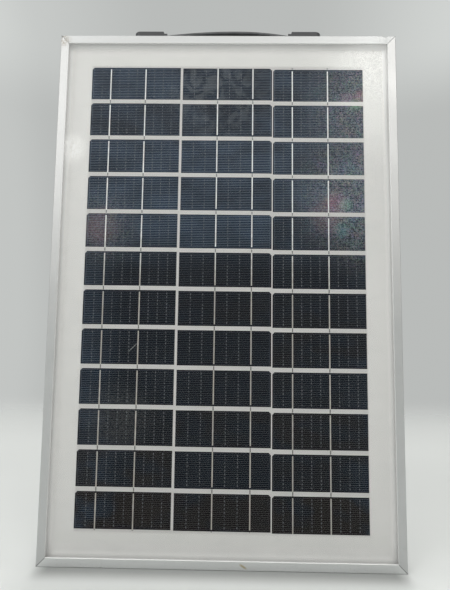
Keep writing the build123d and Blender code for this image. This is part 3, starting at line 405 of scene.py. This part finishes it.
def lit_through_glass(r, tone):
    """Adds to a white film what the glass over it does, and gives its colour and other shader inputs.

    The glass's sparkle and glints are painted over the film, a painted glow lights it faintly beside the frame,
    and the film between the cells has painted shade that makes it a little darker than the margin.
    """
    # Painted sparkle of the glass over the film.
    tone = r.mix(r.times(painted_sparkle(r), 0.12), tone, r.mix(0.4, r.sparks(SPARK_SIZE), (1, 1, 1)))
    # Painted glints: grey grains and glowing grains at the upper right corner and at one spot on the left.
    corner = r.near(*BRIGHT_CORNER)
    lit = r.grains(0.75 * MM)[1]
    tone = r.mix(r.times(corner, r.ramp(lit, 0.55, 0.1, 0.0, 0.3)), tone, (0.50, 0.49, 0.50))
    glint = r.larger(r.times(corner, 0.5), r.near(*LAMP_SPOT))
    sparkle = r.times(glint, r.ramp(lit, 0.4, 1.0, 0.06, 0.34))

    inset_x = r.minus(OUTER_X, r.unsigned(r.x))
    inset_z = r.minus(OUTER_Z, r.unsigned(r.z))
    # Painted glow: the film glows faintly beside the frame, more towards the top and at the upper right corner.
    painted_frame_glow = r.ramp(r.math("MINIMUM", inset_x, inset_z), 12.5 * MM, 7.5 * MM, 0.0, 1.0)
    bright = r.plus(r.ramp(r.z, -40 * MM, 120 * MM, 0.17, 0.25), r.times(corner, 0.08))
    bright = r.times(bright, r.ramp(r.z, -216 * MM, -204 * MM, 0.6, 1.0))
    glow = r.plus(r.times(painted_frame_glow, bright), sparkle)

    # Painted shade: the film between the cells is darker than the margin.
    between = r.ramp(r.unsigned(r.x), 119.5 * MM, 122 * MM, 1.0, 0.0)
    between = r.times(between, r.ramp(r.unsigned(r.z), 199 * MM, 201.5 * MM, 1.0, 0.0))
    tone = r.mix(r.times(between, 0.76), tone, (0.66, 0.64, 0.645))
    mirrored = r.ramp(r.near(*GLOSSY_CORNER), 0.0, 1.0, 0.6, 3.2)
    light = {"Specular_IOR_Level": mirrored, "Emission_Color": (1, 1, 0.985, 1), "Emission_Strength": glow}
    return tone, light


def painted_sparkle(r):
    """How strongly the painted sparkle of the dimpled glass shows: most over the upper right of the panel."""
    right = r.larger(r.near(*UPPER_SPARKLE), r.near(*LOWER_SPARKLE))
    return r.larger(right, r.times(r.near(*LEFT_SPARKLE), 0.38))


def glassy_marks(r, colour):
    """Adds the glass's painted coloured sparkle and painted rainbow glints, and its wiping smears and dust, to
    the colour that lies under it.
    """
    # Painted sparkle of the glass over the cells.
    colour = r.add(r.times(painted_sparkle(r), 0.46), colour, r.sparks(SPARK_SIZE))
    # Painted rainbow glints.
    for centre, radius, tint in RAINBOWS:
        colour = r.add(r.times(r.near(centre, radius), r.noise(1.4 * MM, 1)), colour, tint)
    swirl = r.node("TexNoise", {"Vector": r.point, "Scale": 1 / (13 * MM), "Detail": 3.0, "Distortion": 1.7})
    wiped = r.times(r.near(*WIPED_PATCH), r.ramp(swirl, 0.44, 0.62))
    dull = r.times(r.near(*DUSTY_PATCH), r.ramp(r.noise(1.6 * MM, 3), 0.3, 0.7))
    dust = r.ramp(r.noise(2.2 * MM, 4), 0.62, 0.8)
    haze = r.plus(r.times(wiped, 0.075), r.times(dust, 0.012))
    haze = r.plus(haze, r.times(dull, 0.06))
    scratch_x, _, scratch_z = SCRATCH[0]
    slope = r.minus(r.minus(r.z, scratch_z), r.minus(r.x, scratch_x))
    scratch = r.times(r.line(slope, 0.5 * MM), r.near(*SCRATCH))
    haze = r.plus(haze, r.times(scratch, 0.35))
    return r.add(haze, colour, (0.75, 0.76, 0.74))


def rows_down(r, string):
    """How far down a string a point lies, in rows from the top of its first cell's space."""
    drop = r.minus(string["lift"] + ROWS * ROW_PITCH / 2, r.z)
    return r.over(drop, ROW_PITCH)


def silicon_cells(name, string):
    """Blue-black cells. Each has its own shade, thin silver fingers, a border line and rows of dots, and a
    painted sheen makes them bluer and brighter towards the top and the sides.
    """
    r = Recipe(name)
    across = r.times(r.minus(r.x, string["x"]), string["narrow"])
    from_edge = r.minus(CELL_WIDTH / 2, across)
    place = rows_down(r, string)
    row = r.math("FLOOR", place)
    down = r.times(r.minus(r.math("FRACT", place), 0.5), ROW_PITCH)
    half = CELL_HEIGHT / 2 - FINGER_INSET
    inside = r.ramp(r.unsigned(down), half, half + PRINT_EDGE, 1.0, 0.0)
    printed = r.times(inside, r.ramp(from_edge, BORDER_INSET - PRINT_EDGE, BORDER_INSET))
    fingers = r.times(r.stripes(down, FINGER_PITCH, FINGER_WIDTH / 2), printed)
    border = r.times(r.line(r.minus(from_edge, BORDER_INSET), BORDER_WIDTH / 2), inside)
    lines = r.larger(fingers, r.times(border, 0.8))
    spacing = BUSBAR_PITCH / string["divisions"]
    columns = r.stripes(r.minus(from_edge, NARROW_MARGIN), spacing, DOT_WIDTH / 2)
    dots = r.times(columns, r.stripes(down, DOT_PITCH, DOT_LENGTH / 2))
    dots = r.times(dots, r.ramp(from_edge, string["dots_from"], string["dots_from"] + PRINT_EDGE))
    dots = r.times(dots, printed)
    dots = r.times(dots, r.ramp(r.noise(6 * MM, 2), 0.3, 0.6, 0.4, 1.35))

    tag = r.plus(row, string["seed"])
    chance = r.node("TexWhiteNoise", {"W": tag}, 0, noise_dimensions="1D")
    second = r.node("TexWhiteNoise", {"W": r.plus(tag, 0.37)}, 0, noise_dimensions="1D")
    cloud = r.noise(24 * MM, 4, (1.4, 1, 0.8))
    # Painted sheen: bluer, brighter cells and brighter fingers towards the top and the sides; its strength also
    # differs at random from row to row.
    upper = r.ramp(r.z, 5 * MM, 60 * MM, 0.0, 0.62)
    upper = r.times(upper, r.ramp(r.near(*DARKER_TOP), 0.0, 1.0, 1.0, 0.75))
    edge = r.ramp(r.unsigned(r.minus(r.x, 8 * MM)), 88 * MM, 126 * MM, 0.05, 0.32)
    shade = r.plus(r.ramp(cloud, 0.3, 0.7, 0.5, 1.1), r.times(chance, 0.5))
    sheen = r.times(r.larger(upper, edge), shade)
    base = r.mix(sheen, (0.0016, 0.0024, 0.0056), (0.008, 0.024, 0.056))
    warmth = r.times(r.ramp(second, 0.35, 0.8), r.ramp(cloud, 0.62, 0.42))
    warmth = r.times(warmth, r.ramp(r.z, 10 * MM, -60 * MM, 0.1, 1.0))
    base = r.mix(r.times(warmth, 0.8), base, (0.010, 0.0070, 0.0065))
    base = glassy_marks(r, base)
    tone = r.noise(3 * MM, 2)
    metal = r.mix(tone, (0.056, 0.063, 0.080), (0.100, 0.111, 0.136))
    metal = r.mix(sheen, metal, (0.33, 0.40, 0.49))
    metal = r.mix(warmth, metal, (0.098, 0.090, 0.088))
    colour = r.mix(lines, base, metal)
    colour = r.mix(dots, colour, r.mix(tone, (0.10, 0.11, 0.13), (0.20, 0.21, 0.23)))
    silver = r.larger(lines, dots)
    roughness = r.plus(r.times(silver, -0.1), 0.34)
    normal = r.bump(silver, 0.012 * MM, r.bump(r.noise(0.5 * MM, 2), 0.03 * MM))
    return r.principled(colour, roughness, normal, Specular_IOR_Level=0.07)


def tinned_ribbon(name, string=None):
    """Solder-coated copper strip: slightly rippled, with a painted highlight that makes it bright towards the
    top and at the right, and painted shade where it dips between two cells.
    """
    r = Recipe(name)
    ripple = r.noise(4 * MM, 3, (0.4, 1, 1))
    pits = r.noise(0.35 * MM, 3)
    # Painted highlight: brighter towards the top and round one spot at the right.
    bright = r.larger(r.ramp(r.z, -10 * MM, 60 * MM, 0.0, 0.9), r.near(*BRIGHT_RIBBONS))
    tone = r.plus(bright, r.ramp(ripple, 0.3, 0.7, -0.25, 0.25))
    colour = r.mix(tone, (0.50, 0.475, 0.44), (0.97, 0.985, 1.0))
    if string:
        # Painted shadow where the ribbon dips between two cells.
        down = r.minus(r.math("FRACT", rows_down(r, string)), 0.5)
        dip = r.times(r.unsigned(down), ROW_PITCH)
        shadow = r.ramp(dip, CELL_HEIGHT / 2 + 0.2 * MM, CELL_HEIGHT / 2 + 0.7 * MM, 0.0, 0.8)
        colour = r.mix(shadow, colour, (0.12, 0.12, 0.125))
    normal = r.bump(ripple, 0.05 * MM, r.bump(pits, 0.01 * MM))
    return r.principled(colour, r.ramp(pits, 0.3, 0.7, 0.28, 0.5), normal, Metallic=0.12)


def sealant():
    """Squeezed-out silicone, lumpy and a little dirty."""
    r = Recipe("sealant")
    lumps = r.noise(4 * MM, 3)
    dirt = r.ramp(r.noise(9 * MM, 4), 0.55, 0.8, 0.0, 0.45)
    colour = r.mix(dirt, (0.80, 0.80, 0.78), (0.52, 0.50, 0.46))
    roughness = r.ramp(lumps, 0.3, 0.7, 0.35, 0.5)
    return r.principled(colour, roughness, r.bump(lumps, 0.15 * MM), Subsurface_Weight=0.05)


def printed_label():
    """Blank silver rating label: a heading block, thin table rules and no lettering."""
    r = Recipe("label_film")
    low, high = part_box("rating_label")
    width, height = high[0] - low[0], high[2] - low[2]
    across = r.over(r.minus(r.x, low[0]), width)
    up = r.over(r.minus(r.z, low[2]), height)
    margin = 0.05
    body = r.times(r.ramp(up, margin, margin + 0.005), r.ramp(up, 0.72, 0.725, 1.0, 0.0))
    sides = r.line(r.minus(across, 0.5), 0.5 - margin, 0.005)
    rules = r.times(r.stripes(r.minus(up, margin), 0.0835, 0.006), body)
    divider = r.times(r.line(r.minus(across, 0.48), 0.003), body)
    header = r.times(r.ramp(up, 0.78, 0.785), r.ramp(up, 0.93, 0.935, 1.0, 0.0))
    ink = r.times(r.larger(r.larger(rules, divider), header), sides)
    ink = r.times(ink, r.ramp(r.noise(0.4 * MM, 2), 0.15, 0.4, 0.7, 0.95))
    foil = r.mix(r.noise(8 * MM, 3), (0.60, 0.61, 0.62), (0.74, 0.75, 0.76))
    colour = r.mix(ink, foil, (0.07, 0.075, 0.085))
    grain = r.noise(0.25 * MM, 2)
    return r.principled(colour, r.ramp(grain, 0.2, 0.8, 0.34, 0.46), r.bump(grain, 0.006 * MM), Metallic=0.35)


def black_plastic(name, dark, light, grain_size, gloss):
    """Moulded black plastic with a fine spark-eroded grain, slight colour patches and rubbed spots."""
    r = Recipe(name)
    grain = r.noise(grain_size, 3)
    cloud = r.noise(18 * MM, 3)
    dust = r.ramp(r.noise(2.5 * MM, 5), 0.6, 0.78, 0.0, 0.35)
    colour = r.mix(cloud, dark, light)
    colour = r.mix(dust, colour, [channel * 2.6 for channel in light])
    rubbed = r.plus(r.times(grain, 0.6), r.times(cloud, 0.4))
    roughness = r.ramp(rubbed, 0.3, 0.7, gloss, gloss + 0.16)
    return r.principled(colour, roughness, r.bump(grain, 0.03 * MM))


def soft_strap():
    """Satin soft PVC: dark grey, a little chalky, with a faint pull along its length."""
    r = Recipe("strap_pvc")
    pull = r.noise(0.5 * MM, 3, (14, 1, 1))
    chalk = r.ramp(r.noise(7 * MM, 4), 0.4, 0.75)
    colour = r.mix(chalk, (0.040, 0.043, 0.046), (0.085, 0.088, 0.092))
    colour = r.mix(r.times(pull, 0.3), colour, (0.12, 0.12, 0.125))
    roughness = r.ramp(pull, 0.25, 0.75, 0.38, 0.54)
    normal = r.bump(pull, 0.012 * MM, r.bump(r.noise(0.25 * MM, 2), 0.006 * MM))
    return r.principled(colour, roughness, normal)


def rubber(name, colour):
    """Matt rubber with a fine grain and soft patches."""
    r = Recipe(name)
    grain = r.noise(0.4 * MM, 3)
    dark, light = ([channel * share for channel in colour] for share in (0.7, 1.5))
    tone = r.mix(r.noise(5 * MM, 3), dark, light)
    return r.principled(tone, r.ramp(grain, 0.2, 0.8, 0.6, 0.8), r.bump(grain, 0.02 * MM))


def plated_metal(name, dark, light, gloss):
    """Plated or rolled metal with a fine turned grain and slightly tarnished patches."""
    r = Recipe(name)
    grain = r.noise(0.15 * MM, 3, (1, 1, 6))
    tarnish = r.noise(2.2 * MM, 4)
    colour = r.mix(tarnish, dark, light)
    roughness = r.ramp(tarnish, 0.25, 0.75, gloss, gloss + 0.18)
    return r.principled(colour, roughness, r.bump(grain, 0.002 * MM), Metallic=1.0)


def moulded_epoxy():
    """Glossy black epoxy body with a pale band near its right end."""
    r = Recipe("diode_epoxy")
    band = r.line(r.minus(r.x, 2.9 * MM), 0.6 * MM, 0.1)
    grain = r.noise(0.3 * MM, 2)
    black = r.mix(grain, (0.018, 0.018, 0.018), (0.032, 0.032, 0.033))
    colour = r.mix(band, black, (0.55, 0.55, 0.54))
    return r.principled(colour, r.ramp(grain, 0.2, 0.8, 0.2, 0.32), r.bump(grain, 0.008 * MM))


def painted_floor():
    """Plain pale floor with faint patches, painted lighter in front, with a painted shadow under the panel and
    a far edge that fades out.
    """
    r = Recipe("floor_paint")
    patches = r.noise(180 * MM, 3)
    grain = r.noise(1.2 * MM, 2)
    colour = r.mix(patches, (0.62, 0.63, 0.62), (0.66, 0.67, 0.66))
    # Painted light: the floor is lighter in front of the panel.
    colour = r.mix(r.ramp(r.y, -10 * MM, -60 * MM), colour, (0.68, 0.69, 0.68))
    # Painted shadow on the floor at the foot of the panel.
    beside = r.ramp(r.unsigned(r.x), OUTER_X - 12 * MM, OUTER_X + 4 * MM, 1.0, 0.0)
    painted_contact_shadow = r.times(r.ramp(r.y, -49 * MM, -27 * MM, 0.0, 0.74), beside)
    colour = r.mix(painted_contact_shadow, colour, (0.16, 0.165, 0.16))
    roughness = r.ramp(grain, 0.2, 0.8, 0.6, 0.75)
    inputs = {"Base Color": colour, "Roughness": roughness, "Normal": r.bump(grain, 0.05 * MM)}
    paint = r.node("BsdfPrincipled", inputs)
    clear = r.node("BsdfTransparent", {"Color": (1, 1, 1, 1)})
    return r.surface(r.node("MixShader", {0: r.ramp(r.y, FLOOR_FADE, FLOOR_BACK), 1: paint, 2: clear}))


BAR_ALONG_X = anodised_aluminium("anodised_along_x", "x")
BAR_ALONG_Z = anodised_aluminium("anodised_along_z", "z")
MATERIALS = {
    "cast_aluminium": cast_aluminium(),
    "sealant": sealant(),
    "textured_glass": textured_glass(),
    "encapsulant": clear_film(),
    "white_encapsulant": white_film("white_encapsulant", (0.945, 0.925, 0.925), 22 * MM, 0.01 * MM, True),
    "white_film": white_film("white_film", (0.93, 0.915, 0.91), 12 * MM, 0.02 * MM, True),
    "backsheet_film": white_film("backsheet_film", (0.80, 0.81, 0.81), 40 * MM, 0.05 * MM),
    "tinned_ribbon": tinned_ribbon("tinned_ribbon"),
    "label_film": printed_label(),
    "box_plastic": black_plastic("box_plastic", (0.022, 0.022, 0.024), (0.036, 0.037, 0.04), 0.45 * MM, 0.42),
    "cap_plastic": black_plastic("cap_plastic", (0.020, 0.021, 0.023), (0.034, 0.036, 0.04), 0.40 * MM, 0.40),
    "gasket_rubber": rubber("gasket_rubber", (0.045, 0.045, 0.047)),
    "zinc_steel": plated_metal("zinc_steel", (0.42, 0.43, 0.44), (0.66, 0.67, 0.66), 0.24),
    "terminal_brass": plated_metal("terminal_brass", (0.60, 0.47, 0.24), (0.72, 0.58, 0.31), 0.26),
    "diode_epoxy": moulded_epoxy(),
    "strap_pvc": soft_strap(),
}
NODE_MATERIALS = {
    "frame_top": BAR_ALONG_X,
    "frame_bottom": BAR_ALONG_X,
    "frame_left": BAR_ALONG_Z,
    "frame_right": BAR_ALONG_Z,
}
for string_name, string_facts in STRINGS.items():
    node_name = f"cells_{string_name}_string"
    NODE_MATERIALS[node_name] = silicon_cells(node_name, string_facts)
    ribbon_name = f"ribbons_{string_name}_string"
    NODE_MATERIALS[ribbon_name] = tinned_ribbon(ribbon_name, string_facts)


def material_of(node):
    """The material of a CAD node, or of the piece that stands for it."""
    return NODE_MATERIALS.get(node) or MATERIALS[SLOT_OF[node]]


# ================================================================ pieces with rounded edges

WELD_DISTANCE = 0.002 * MM
FLAT_WITHIN = math.radians(0.3)
SMOOTH_BELOW = math.radians(35)


def new_piece(name, mesh, *nodes):
    """A piece that stands for CAD nodes, with the first one's material; the nodes are hidden."""
    piece = bpy.data.objects.new(name, mesh)
    bpy.context.collection.objects.link(piece)
    mesh.materials.clear()
    mesh.materials.append(material_of(nodes[0]))
    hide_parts(*nodes)
    return piece


def clean_copy(node):
    """A CAD node's shape as a bmesh with welded corners and whole flat faces."""
    work = bmesh.new()
    work.from_mesh(NODES[node].data)
    bmesh.ops.remove_doubles(work, verts=work.verts, dist=WELD_DISTANCE)
    bmesh.ops.dissolve_limit(work, angle_limit=FLAT_WITHIN, verts=work.verts, edges=work.edges)
    return work


def as_mesh(work, name):
    """A mesh of the bmesh, smooth except at its sharp edges."""
    mesh = bpy.data.meshes.new(name)
    work.to_mesh(mesh)
    work.free()
    cad_normals = mesh.attributes.get("custom_normal")
    if cad_normals:
        mesh.attributes.remove(cad_normals)
    mesh.shade_smooth()
    mesh.set_sharp_from_angle(angle=SMOOTH_BELOW)
    return mesh


def round_edges(piece, width, segments=2):
    """Rounds the sharp edges of a piece."""
    bevel = piece.modifiers.new("rounding", "BEVEL")
    bevel.width = width
    bevel.segments = segments
    bevel.limit_method = "ANGLE"
    bevel.angle_limit = SMOOTH_BELOW
    bevel.harden_normals = True
    bevel.use_clamp_overlap = True


def rounded(node, width, change=None):
    """Makes a copy of a CAD node with rounded edges, after an optional change to its shape."""
    work = clean_copy(node)
    if change:
        change(work)
    piece = new_piece(f"{node}_rounded", as_mesh(work, node), node)
    round_edges(piece, width)
    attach(piece, BODY_OF[node])


# ---- frame bars, with small nicks and dents

SLICES = 4  # on each side of a nick's centre
BAR_ROUNDING = 0.22 * MM
NICKS = {  # each nick's centre, how far it reaches, and how its centre is pushed
    "frame_top": [
        ((139.2 * MM, FRONT_Y, OUTER_Z), 2.2 * MM, (0.1 * MM, 0.5 * MM, -0.8 * MM)),
        ((134.0 * MM, FRONT_Y, OUTER_Z), 1.3 * MM, (0.0, 0.2 * MM, -0.35 * MM)),
        ((-146.9 * MM, FRONT_Y, OUTER_Z), 2.0 * MM, (0.3 * MM, 0.3 * MM, -0.5 * MM)),
    ],
    "frame_left": [
        ((-OUTER_X, FRONT_Y, 224.0 * MM), 2.0 * MM, (0.5 * MM, 0.3 * MM, -0.2 * MM)),
        ((-OUTER_X, FRONT_Y, -88.0 * MM), 1.6 * MM, (0.3 * MM, 0.2 * MM, 0.0)),
    ],
    "frame_right": [
        ((144.8 * MM, FRONT_Y, -207.4 * MM), 2.4 * MM, (0.0, 0.35 * MM, 0.0)),
        ((OUTER_X, FRONT_Y, 60.0 * MM), 1.4 * MM, (-0.3 * MM, 0.2 * MM, 0.0)),
    ],
    "frame_bottom": [
        ((-96.0 * MM, FRONT_Y, -OUTER_Z), 1.6 * MM, (0.0, 0.2 * MM, 0.4 * MM)),
    ],
}


def inset_of(point):
    """How far a point of the frame lies in from the nearer outer edge."""
    return min(OUTER_X - abs(point.x), OUTER_Z - abs(point.z))


def slice_near(work, centre, radius, way):
    """Cuts the mesh across at a few places along an axis, round a centre, so that it can be dented there."""
    for step in range(-SLICES, SLICES + 1):
        place = Vector(centre) + Vector(way) * (radius * step / SLICES)
        everything = work.verts[:] + work.edges[:] + work.faces[:]
        bmesh.ops.bisect_plane(work, geom=everything, plane_co=place, plane_no=way)


def slice_behind(work, centre, radius, along):
    """Cuts the faces at a nick once behind it, so that its dent doesn't shade the whole depth of the bar."""
    middle = Vector(centre)
    faces = [f for f in work.faces if abs((f.calc_center_median() - middle).dot(Vector(along))) < radius]
    edges = list(dict.fromkeys(edge for face in faces for edge in face.edges))
    verts = list(dict.fromkeys(vert for face in faces for vert in face.verts))
    behind = middle + Vector((0, radius, 0))
    bmesh.ops.bisect_plane(work, geom=faces + edges + verts, plane_co=behind, plane_no=(0, 1, 0))


def dent(work, centre, radius, shift):
    """Pushes the points near a centre by a shift that fades out at the radius."""
    for vert in work.verts:
        share = max(0.0, 1 - (vert.co - Vector(centre)).length / radius)
        vert.co += Vector(shift) * share * share * (3 - 2 * share)


def nicked(node):
    """The change that gives one bar of the frame its nicks."""
    along, across = (0, 0, 1), (1, 0, 0)
    if node in ("frame_top", "frame_bottom"):
        along, across = across, along

    def change(work):
        for centre, radius, _ in NICKS[node]:
            slice_near(work, centre, radius, along)
            if inset_of(Vector(centre)) > radius:
                slice_near(work, centre, radius, across)
            slice_behind(work, centre, radius, along)
        for centre, radius, shift in NICKS[node]:
            dent(work, centre, radius, shift)

    return change


for bar in NICKS:
    rounded(bar, BAR_ROUNDING, nicked(bar))

# ---- box, gland, caps and fasteners

for node_name, edge_width in {
    "jbox_base": 0.3 * MM,
    "jbox_lid": 0.25 * MM,
    "jbox_lid_snaps": 0.25 * MM,
    "jbox_gasket": 0.25 * MM,
    "gland_nut": 0.3 * MM,
    "terminal_plates": 0.15 * MM,
    "terminal_screws": 0.2 * MM,
    "handle_cap_left": 0.35 * MM,
    "handle_cap_right": 0.35 * MM,
    "handle_screws": 0.12 * MM,
    "handle_rivet_nuts": 0.15 * MM,
}.items():
    rounded(node_name, edge_width)

# ---- clear film between glass and cells, a hair thinner than its space so that no two faces coincide

FILM_GAP = 0.02 * MM
FILM_ROUNDING = 0.05 * MM


def film_slab(name, node):
    """A block a hair smaller than a CAD film on every side."""
    low, high = (Vector(corner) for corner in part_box(node))
    gap = Vector((FILM_GAP, FILM_GAP, FILM_GAP))
    low += gap
    high -= gap
    work = bmesh.new()
    bmesh.ops.create_cube(work, size=1.0)
    for vert in work.verts:
        vert.co = [(low[i] + high[i]) / 2 + vert.co[i] * (high[i] - low[i]) for i in range(3)]
    piece = new_piece(name, as_mesh(work, name), node)
    round_edges(piece, FILM_ROUNDING, 1)
    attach(piece, BODY_OF[node])


film_slab("front_film", "front_encapsulant")

# ---- carrying strap: two halves of one moulding, each bending from its cap to the middle

STRAP_BEND_X = 54.0 * MM
STRAP_PEAK_X = 8.0 * MM
STRAP_THICKNESS = 2.2 * MM
STRAP_ROUND = 0.7 * MM
SLOT_X = 67.0 * MM
SLOT_TRAVEL = 7.0 * MM
SLOT_WIDTH = 6.4 * MM
strap_low, strap_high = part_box("handle_strap_right")
grip_low, grip_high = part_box("handle_strap_grip")
STRAP_END_X = strap_high[0]
STRAP_SEAT = strap_low[2]
STRAP_RISE = grip_high[2] - STRAP_THICKNESS - STRAP_SEAT
STRAP_FRONT, STRAP_BACK = strap_low[1], strap_high[1]
STRAP_MIDDLE = (STRAP_FRONT + STRAP_BACK) / 2
STRAP_STEPS = 44
QUARTER_STEPS = 4  # in a quarter turn of the strap's rounded corners and of its slot's ends


def strap_section():
    """Points round the strap's rounded section, as y and height above its underside."""
    points = []
    corners = (
        (STRAP_BACK - STRAP_ROUND, STRAP_THICKNESS - STRAP_ROUND, 0),
        (STRAP_FRONT + STRAP_ROUND, STRAP_THICKNESS - STRAP_ROUND, 90),
        (STRAP_FRONT + STRAP_ROUND, STRAP_ROUND, 180),
        (STRAP_BACK - STRAP_ROUND, STRAP_ROUND, 270),
    )
    for y, z, start in corners:
        for step in range(QUARTER_STEPS + 1):
            angle = math.radians(start + step * 90 / QUARTER_STEPS)
            points.append((y + STRAP_ROUND * math.cos(angle), z + STRAP_ROUND * math.sin(angle)))
    return points


def strap_height(x):
    """How far the strap's underside stands above its seat at rest."""
    reach = STRAP_BEND_X - STRAP_PEAK_X if x > STRAP_PEAK_X else STRAP_BEND_X + STRAP_PEAK_X
    share = min(1.0, abs(x - STRAP_PEAK_X) / reach)
    return STRAP_RISE * (1 - share * share)


def slot_cutter(side):
    """A tall body with the outline of the slot that the screw passes through."""
    work = bmesh.new()
    outline = []
    for centre, start in ((SLOT_X + SLOT_TRAVEL, -90), (SLOT_X, 90)):
        for step in range(2 * QUARTER_STEPS + 1):
            angle = math.radians(start + step * 90 / QUARTER_STEPS)
            outline.append((centre + SLOT_WIDTH / 2 * math.cos(angle), SLOT_WIDTH / 2 * math.sin(angle)))
    base = STRAP_SEAT - STRAP_THICKNESS
    face = work.faces.new([work.verts.new((side * x, STRAP_MIDDLE + y, base)) for x, y in outline])
    top = bmesh.ops.extrude_face_region(work, geom=[face])
    for item in top["geom"]:
        if isinstance(item, bmesh.types.BMVert):
            item.co.z += 3 * STRAP_THICKNESS
    bmesh.ops.recalc_face_normals(work, faces=work.faces)
    return as_mesh(work, "slot_cutter")


def strap_half(name, side, *nodes):
    """One half of the strap, from its middle to its end, with the slot for the cap's screw."""
    section = strap_section()
    work = bmesh.new()
    rings = []
    for step in range(STRAP_STEPS + 1):
        x = side * STRAP_END_X * step / STRAP_STEPS
        height = STRAP_SEAT + strap_height(x)
        rings.append([work.verts.new((x, y, height + z)) for y, z in section])
    count = len(section)
    for ring, following in zip(rings, rings[1:]):
        for i in range(count):
            work.faces.new((ring[i], ring[(i + 1) % count], following[(i + 1) % count], following[i]))
    work.faces.new(rings[0])
    work.faces.new(rings[-1])
    bmesh.ops.recalc_face_normals(work, faces=work.faces)
    piece = new_piece(name, as_mesh(work, name), *nodes)
    cutter = bpy.data.objects.new("slot_cutter", slot_cutter(side))
    bpy.context.collection.objects.link(cutter)
    cut = piece.modifiers.new("slot", "BOOLEAN")
    cut.operation = "DIFFERENCE"
    cut.solver = "EXACT"
    cut.object = cutter
    bpy.context.view_layer.update()
    shaped = bpy.data.meshes.new_from_object(piece.evaluated_get(bpy.context.evaluated_depsgraph_get()))
    piece.modifiers.remove(cut)
    piece.data = shaped
    bpy.data.objects.remove(cutter)
    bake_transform(piece)


strap_half("strap_left_half", -1, "handle_strap_left", "handle_strap_grip")
strap_half("strap_right_half", 1, "handle_strap_right")

# ================================================================ materials of the CAD nodes that stay

for node_name, node_object in NODES.items():
    for material_slot in node_object.material_slots:
        material_slot.material = material_of(node_name)

# ================================================================ floor and surroundings

FLOOR_Z = cad_box[0][2]
FLOOR_FRONT, FLOOR_FADE, FLOOR_BACK, FLOOR_SIDE = -2.2, 0.26, 1.0, 2.4
BACKGROUND_GREY = (0.485, 0.50, 0.49, 1)
BACKGROUND_PALE = (0.64, 0.66, 0.645, 1)

floor_work = bmesh.new()
floor_corners = ((-1, FLOOR_FRONT), (1, FLOOR_FRONT), (1, FLOOR_BACK), (-1, FLOOR_BACK))
floor_work.faces.new([floor_work.verts.new((side * FLOOR_SIDE, y, FLOOR_Z)) for side, y in floor_corners])
floor_mesh = as_mesh(floor_work, "floor")
floor_mesh.materials.append(painted_floor())
floor = bpy.data.objects.new("floor", floor_mesh)
bpy.context.collection.objects.link(floor)

world = bpy.data.worlds.new("studio")
bpy.context.scene.world = world
world.use_nodes = True
sky = world.node_tree

# The background is grey behind the panel, and paler at the left and in the upper corners, as in the photo.
way = add_node(sky, "TexCoord", output="Generated")
way_x = add_node(sky, "SeparateXYZ", {0: way}, 0)
way_z = add_node(sky, "SeparateXYZ", {0: way}, 2)
left = add_ramp(sky, way_x, -0.42, -0.12, 0.6, 0.0)
right = add_ramp(sky, way_x, 0.12, 0.42, 0.0, 1.0)
high = add_ramp(sky, way_z, 0.42, 0.54, 0.0, 1.0)
leftwards = add_ramp(sky, way_x, -0.44, -0.35, 0.36, 0.0)
wide = add_node(sky, "Math", {0: left, 1: right}, operation="ADD")
upper_corners = add_node(sky, "Math", {0: wide, 1: high}, operation="MULTIPLY")
pale = add_node(sky, "Math", {0: upper_corners, 1: leftwards}, operation="ADD")
grey = add_node(sky, "Mix", {0: pale, 6: BACKGROUND_GREY, 7: BACKGROUND_PALE}, 2, data_type="RGBA")
sky.links.new(grey, sky.nodes["Background"].inputs["Color"])
sky.nodes["Background"].inputs["Strength"].default_value = 1.0
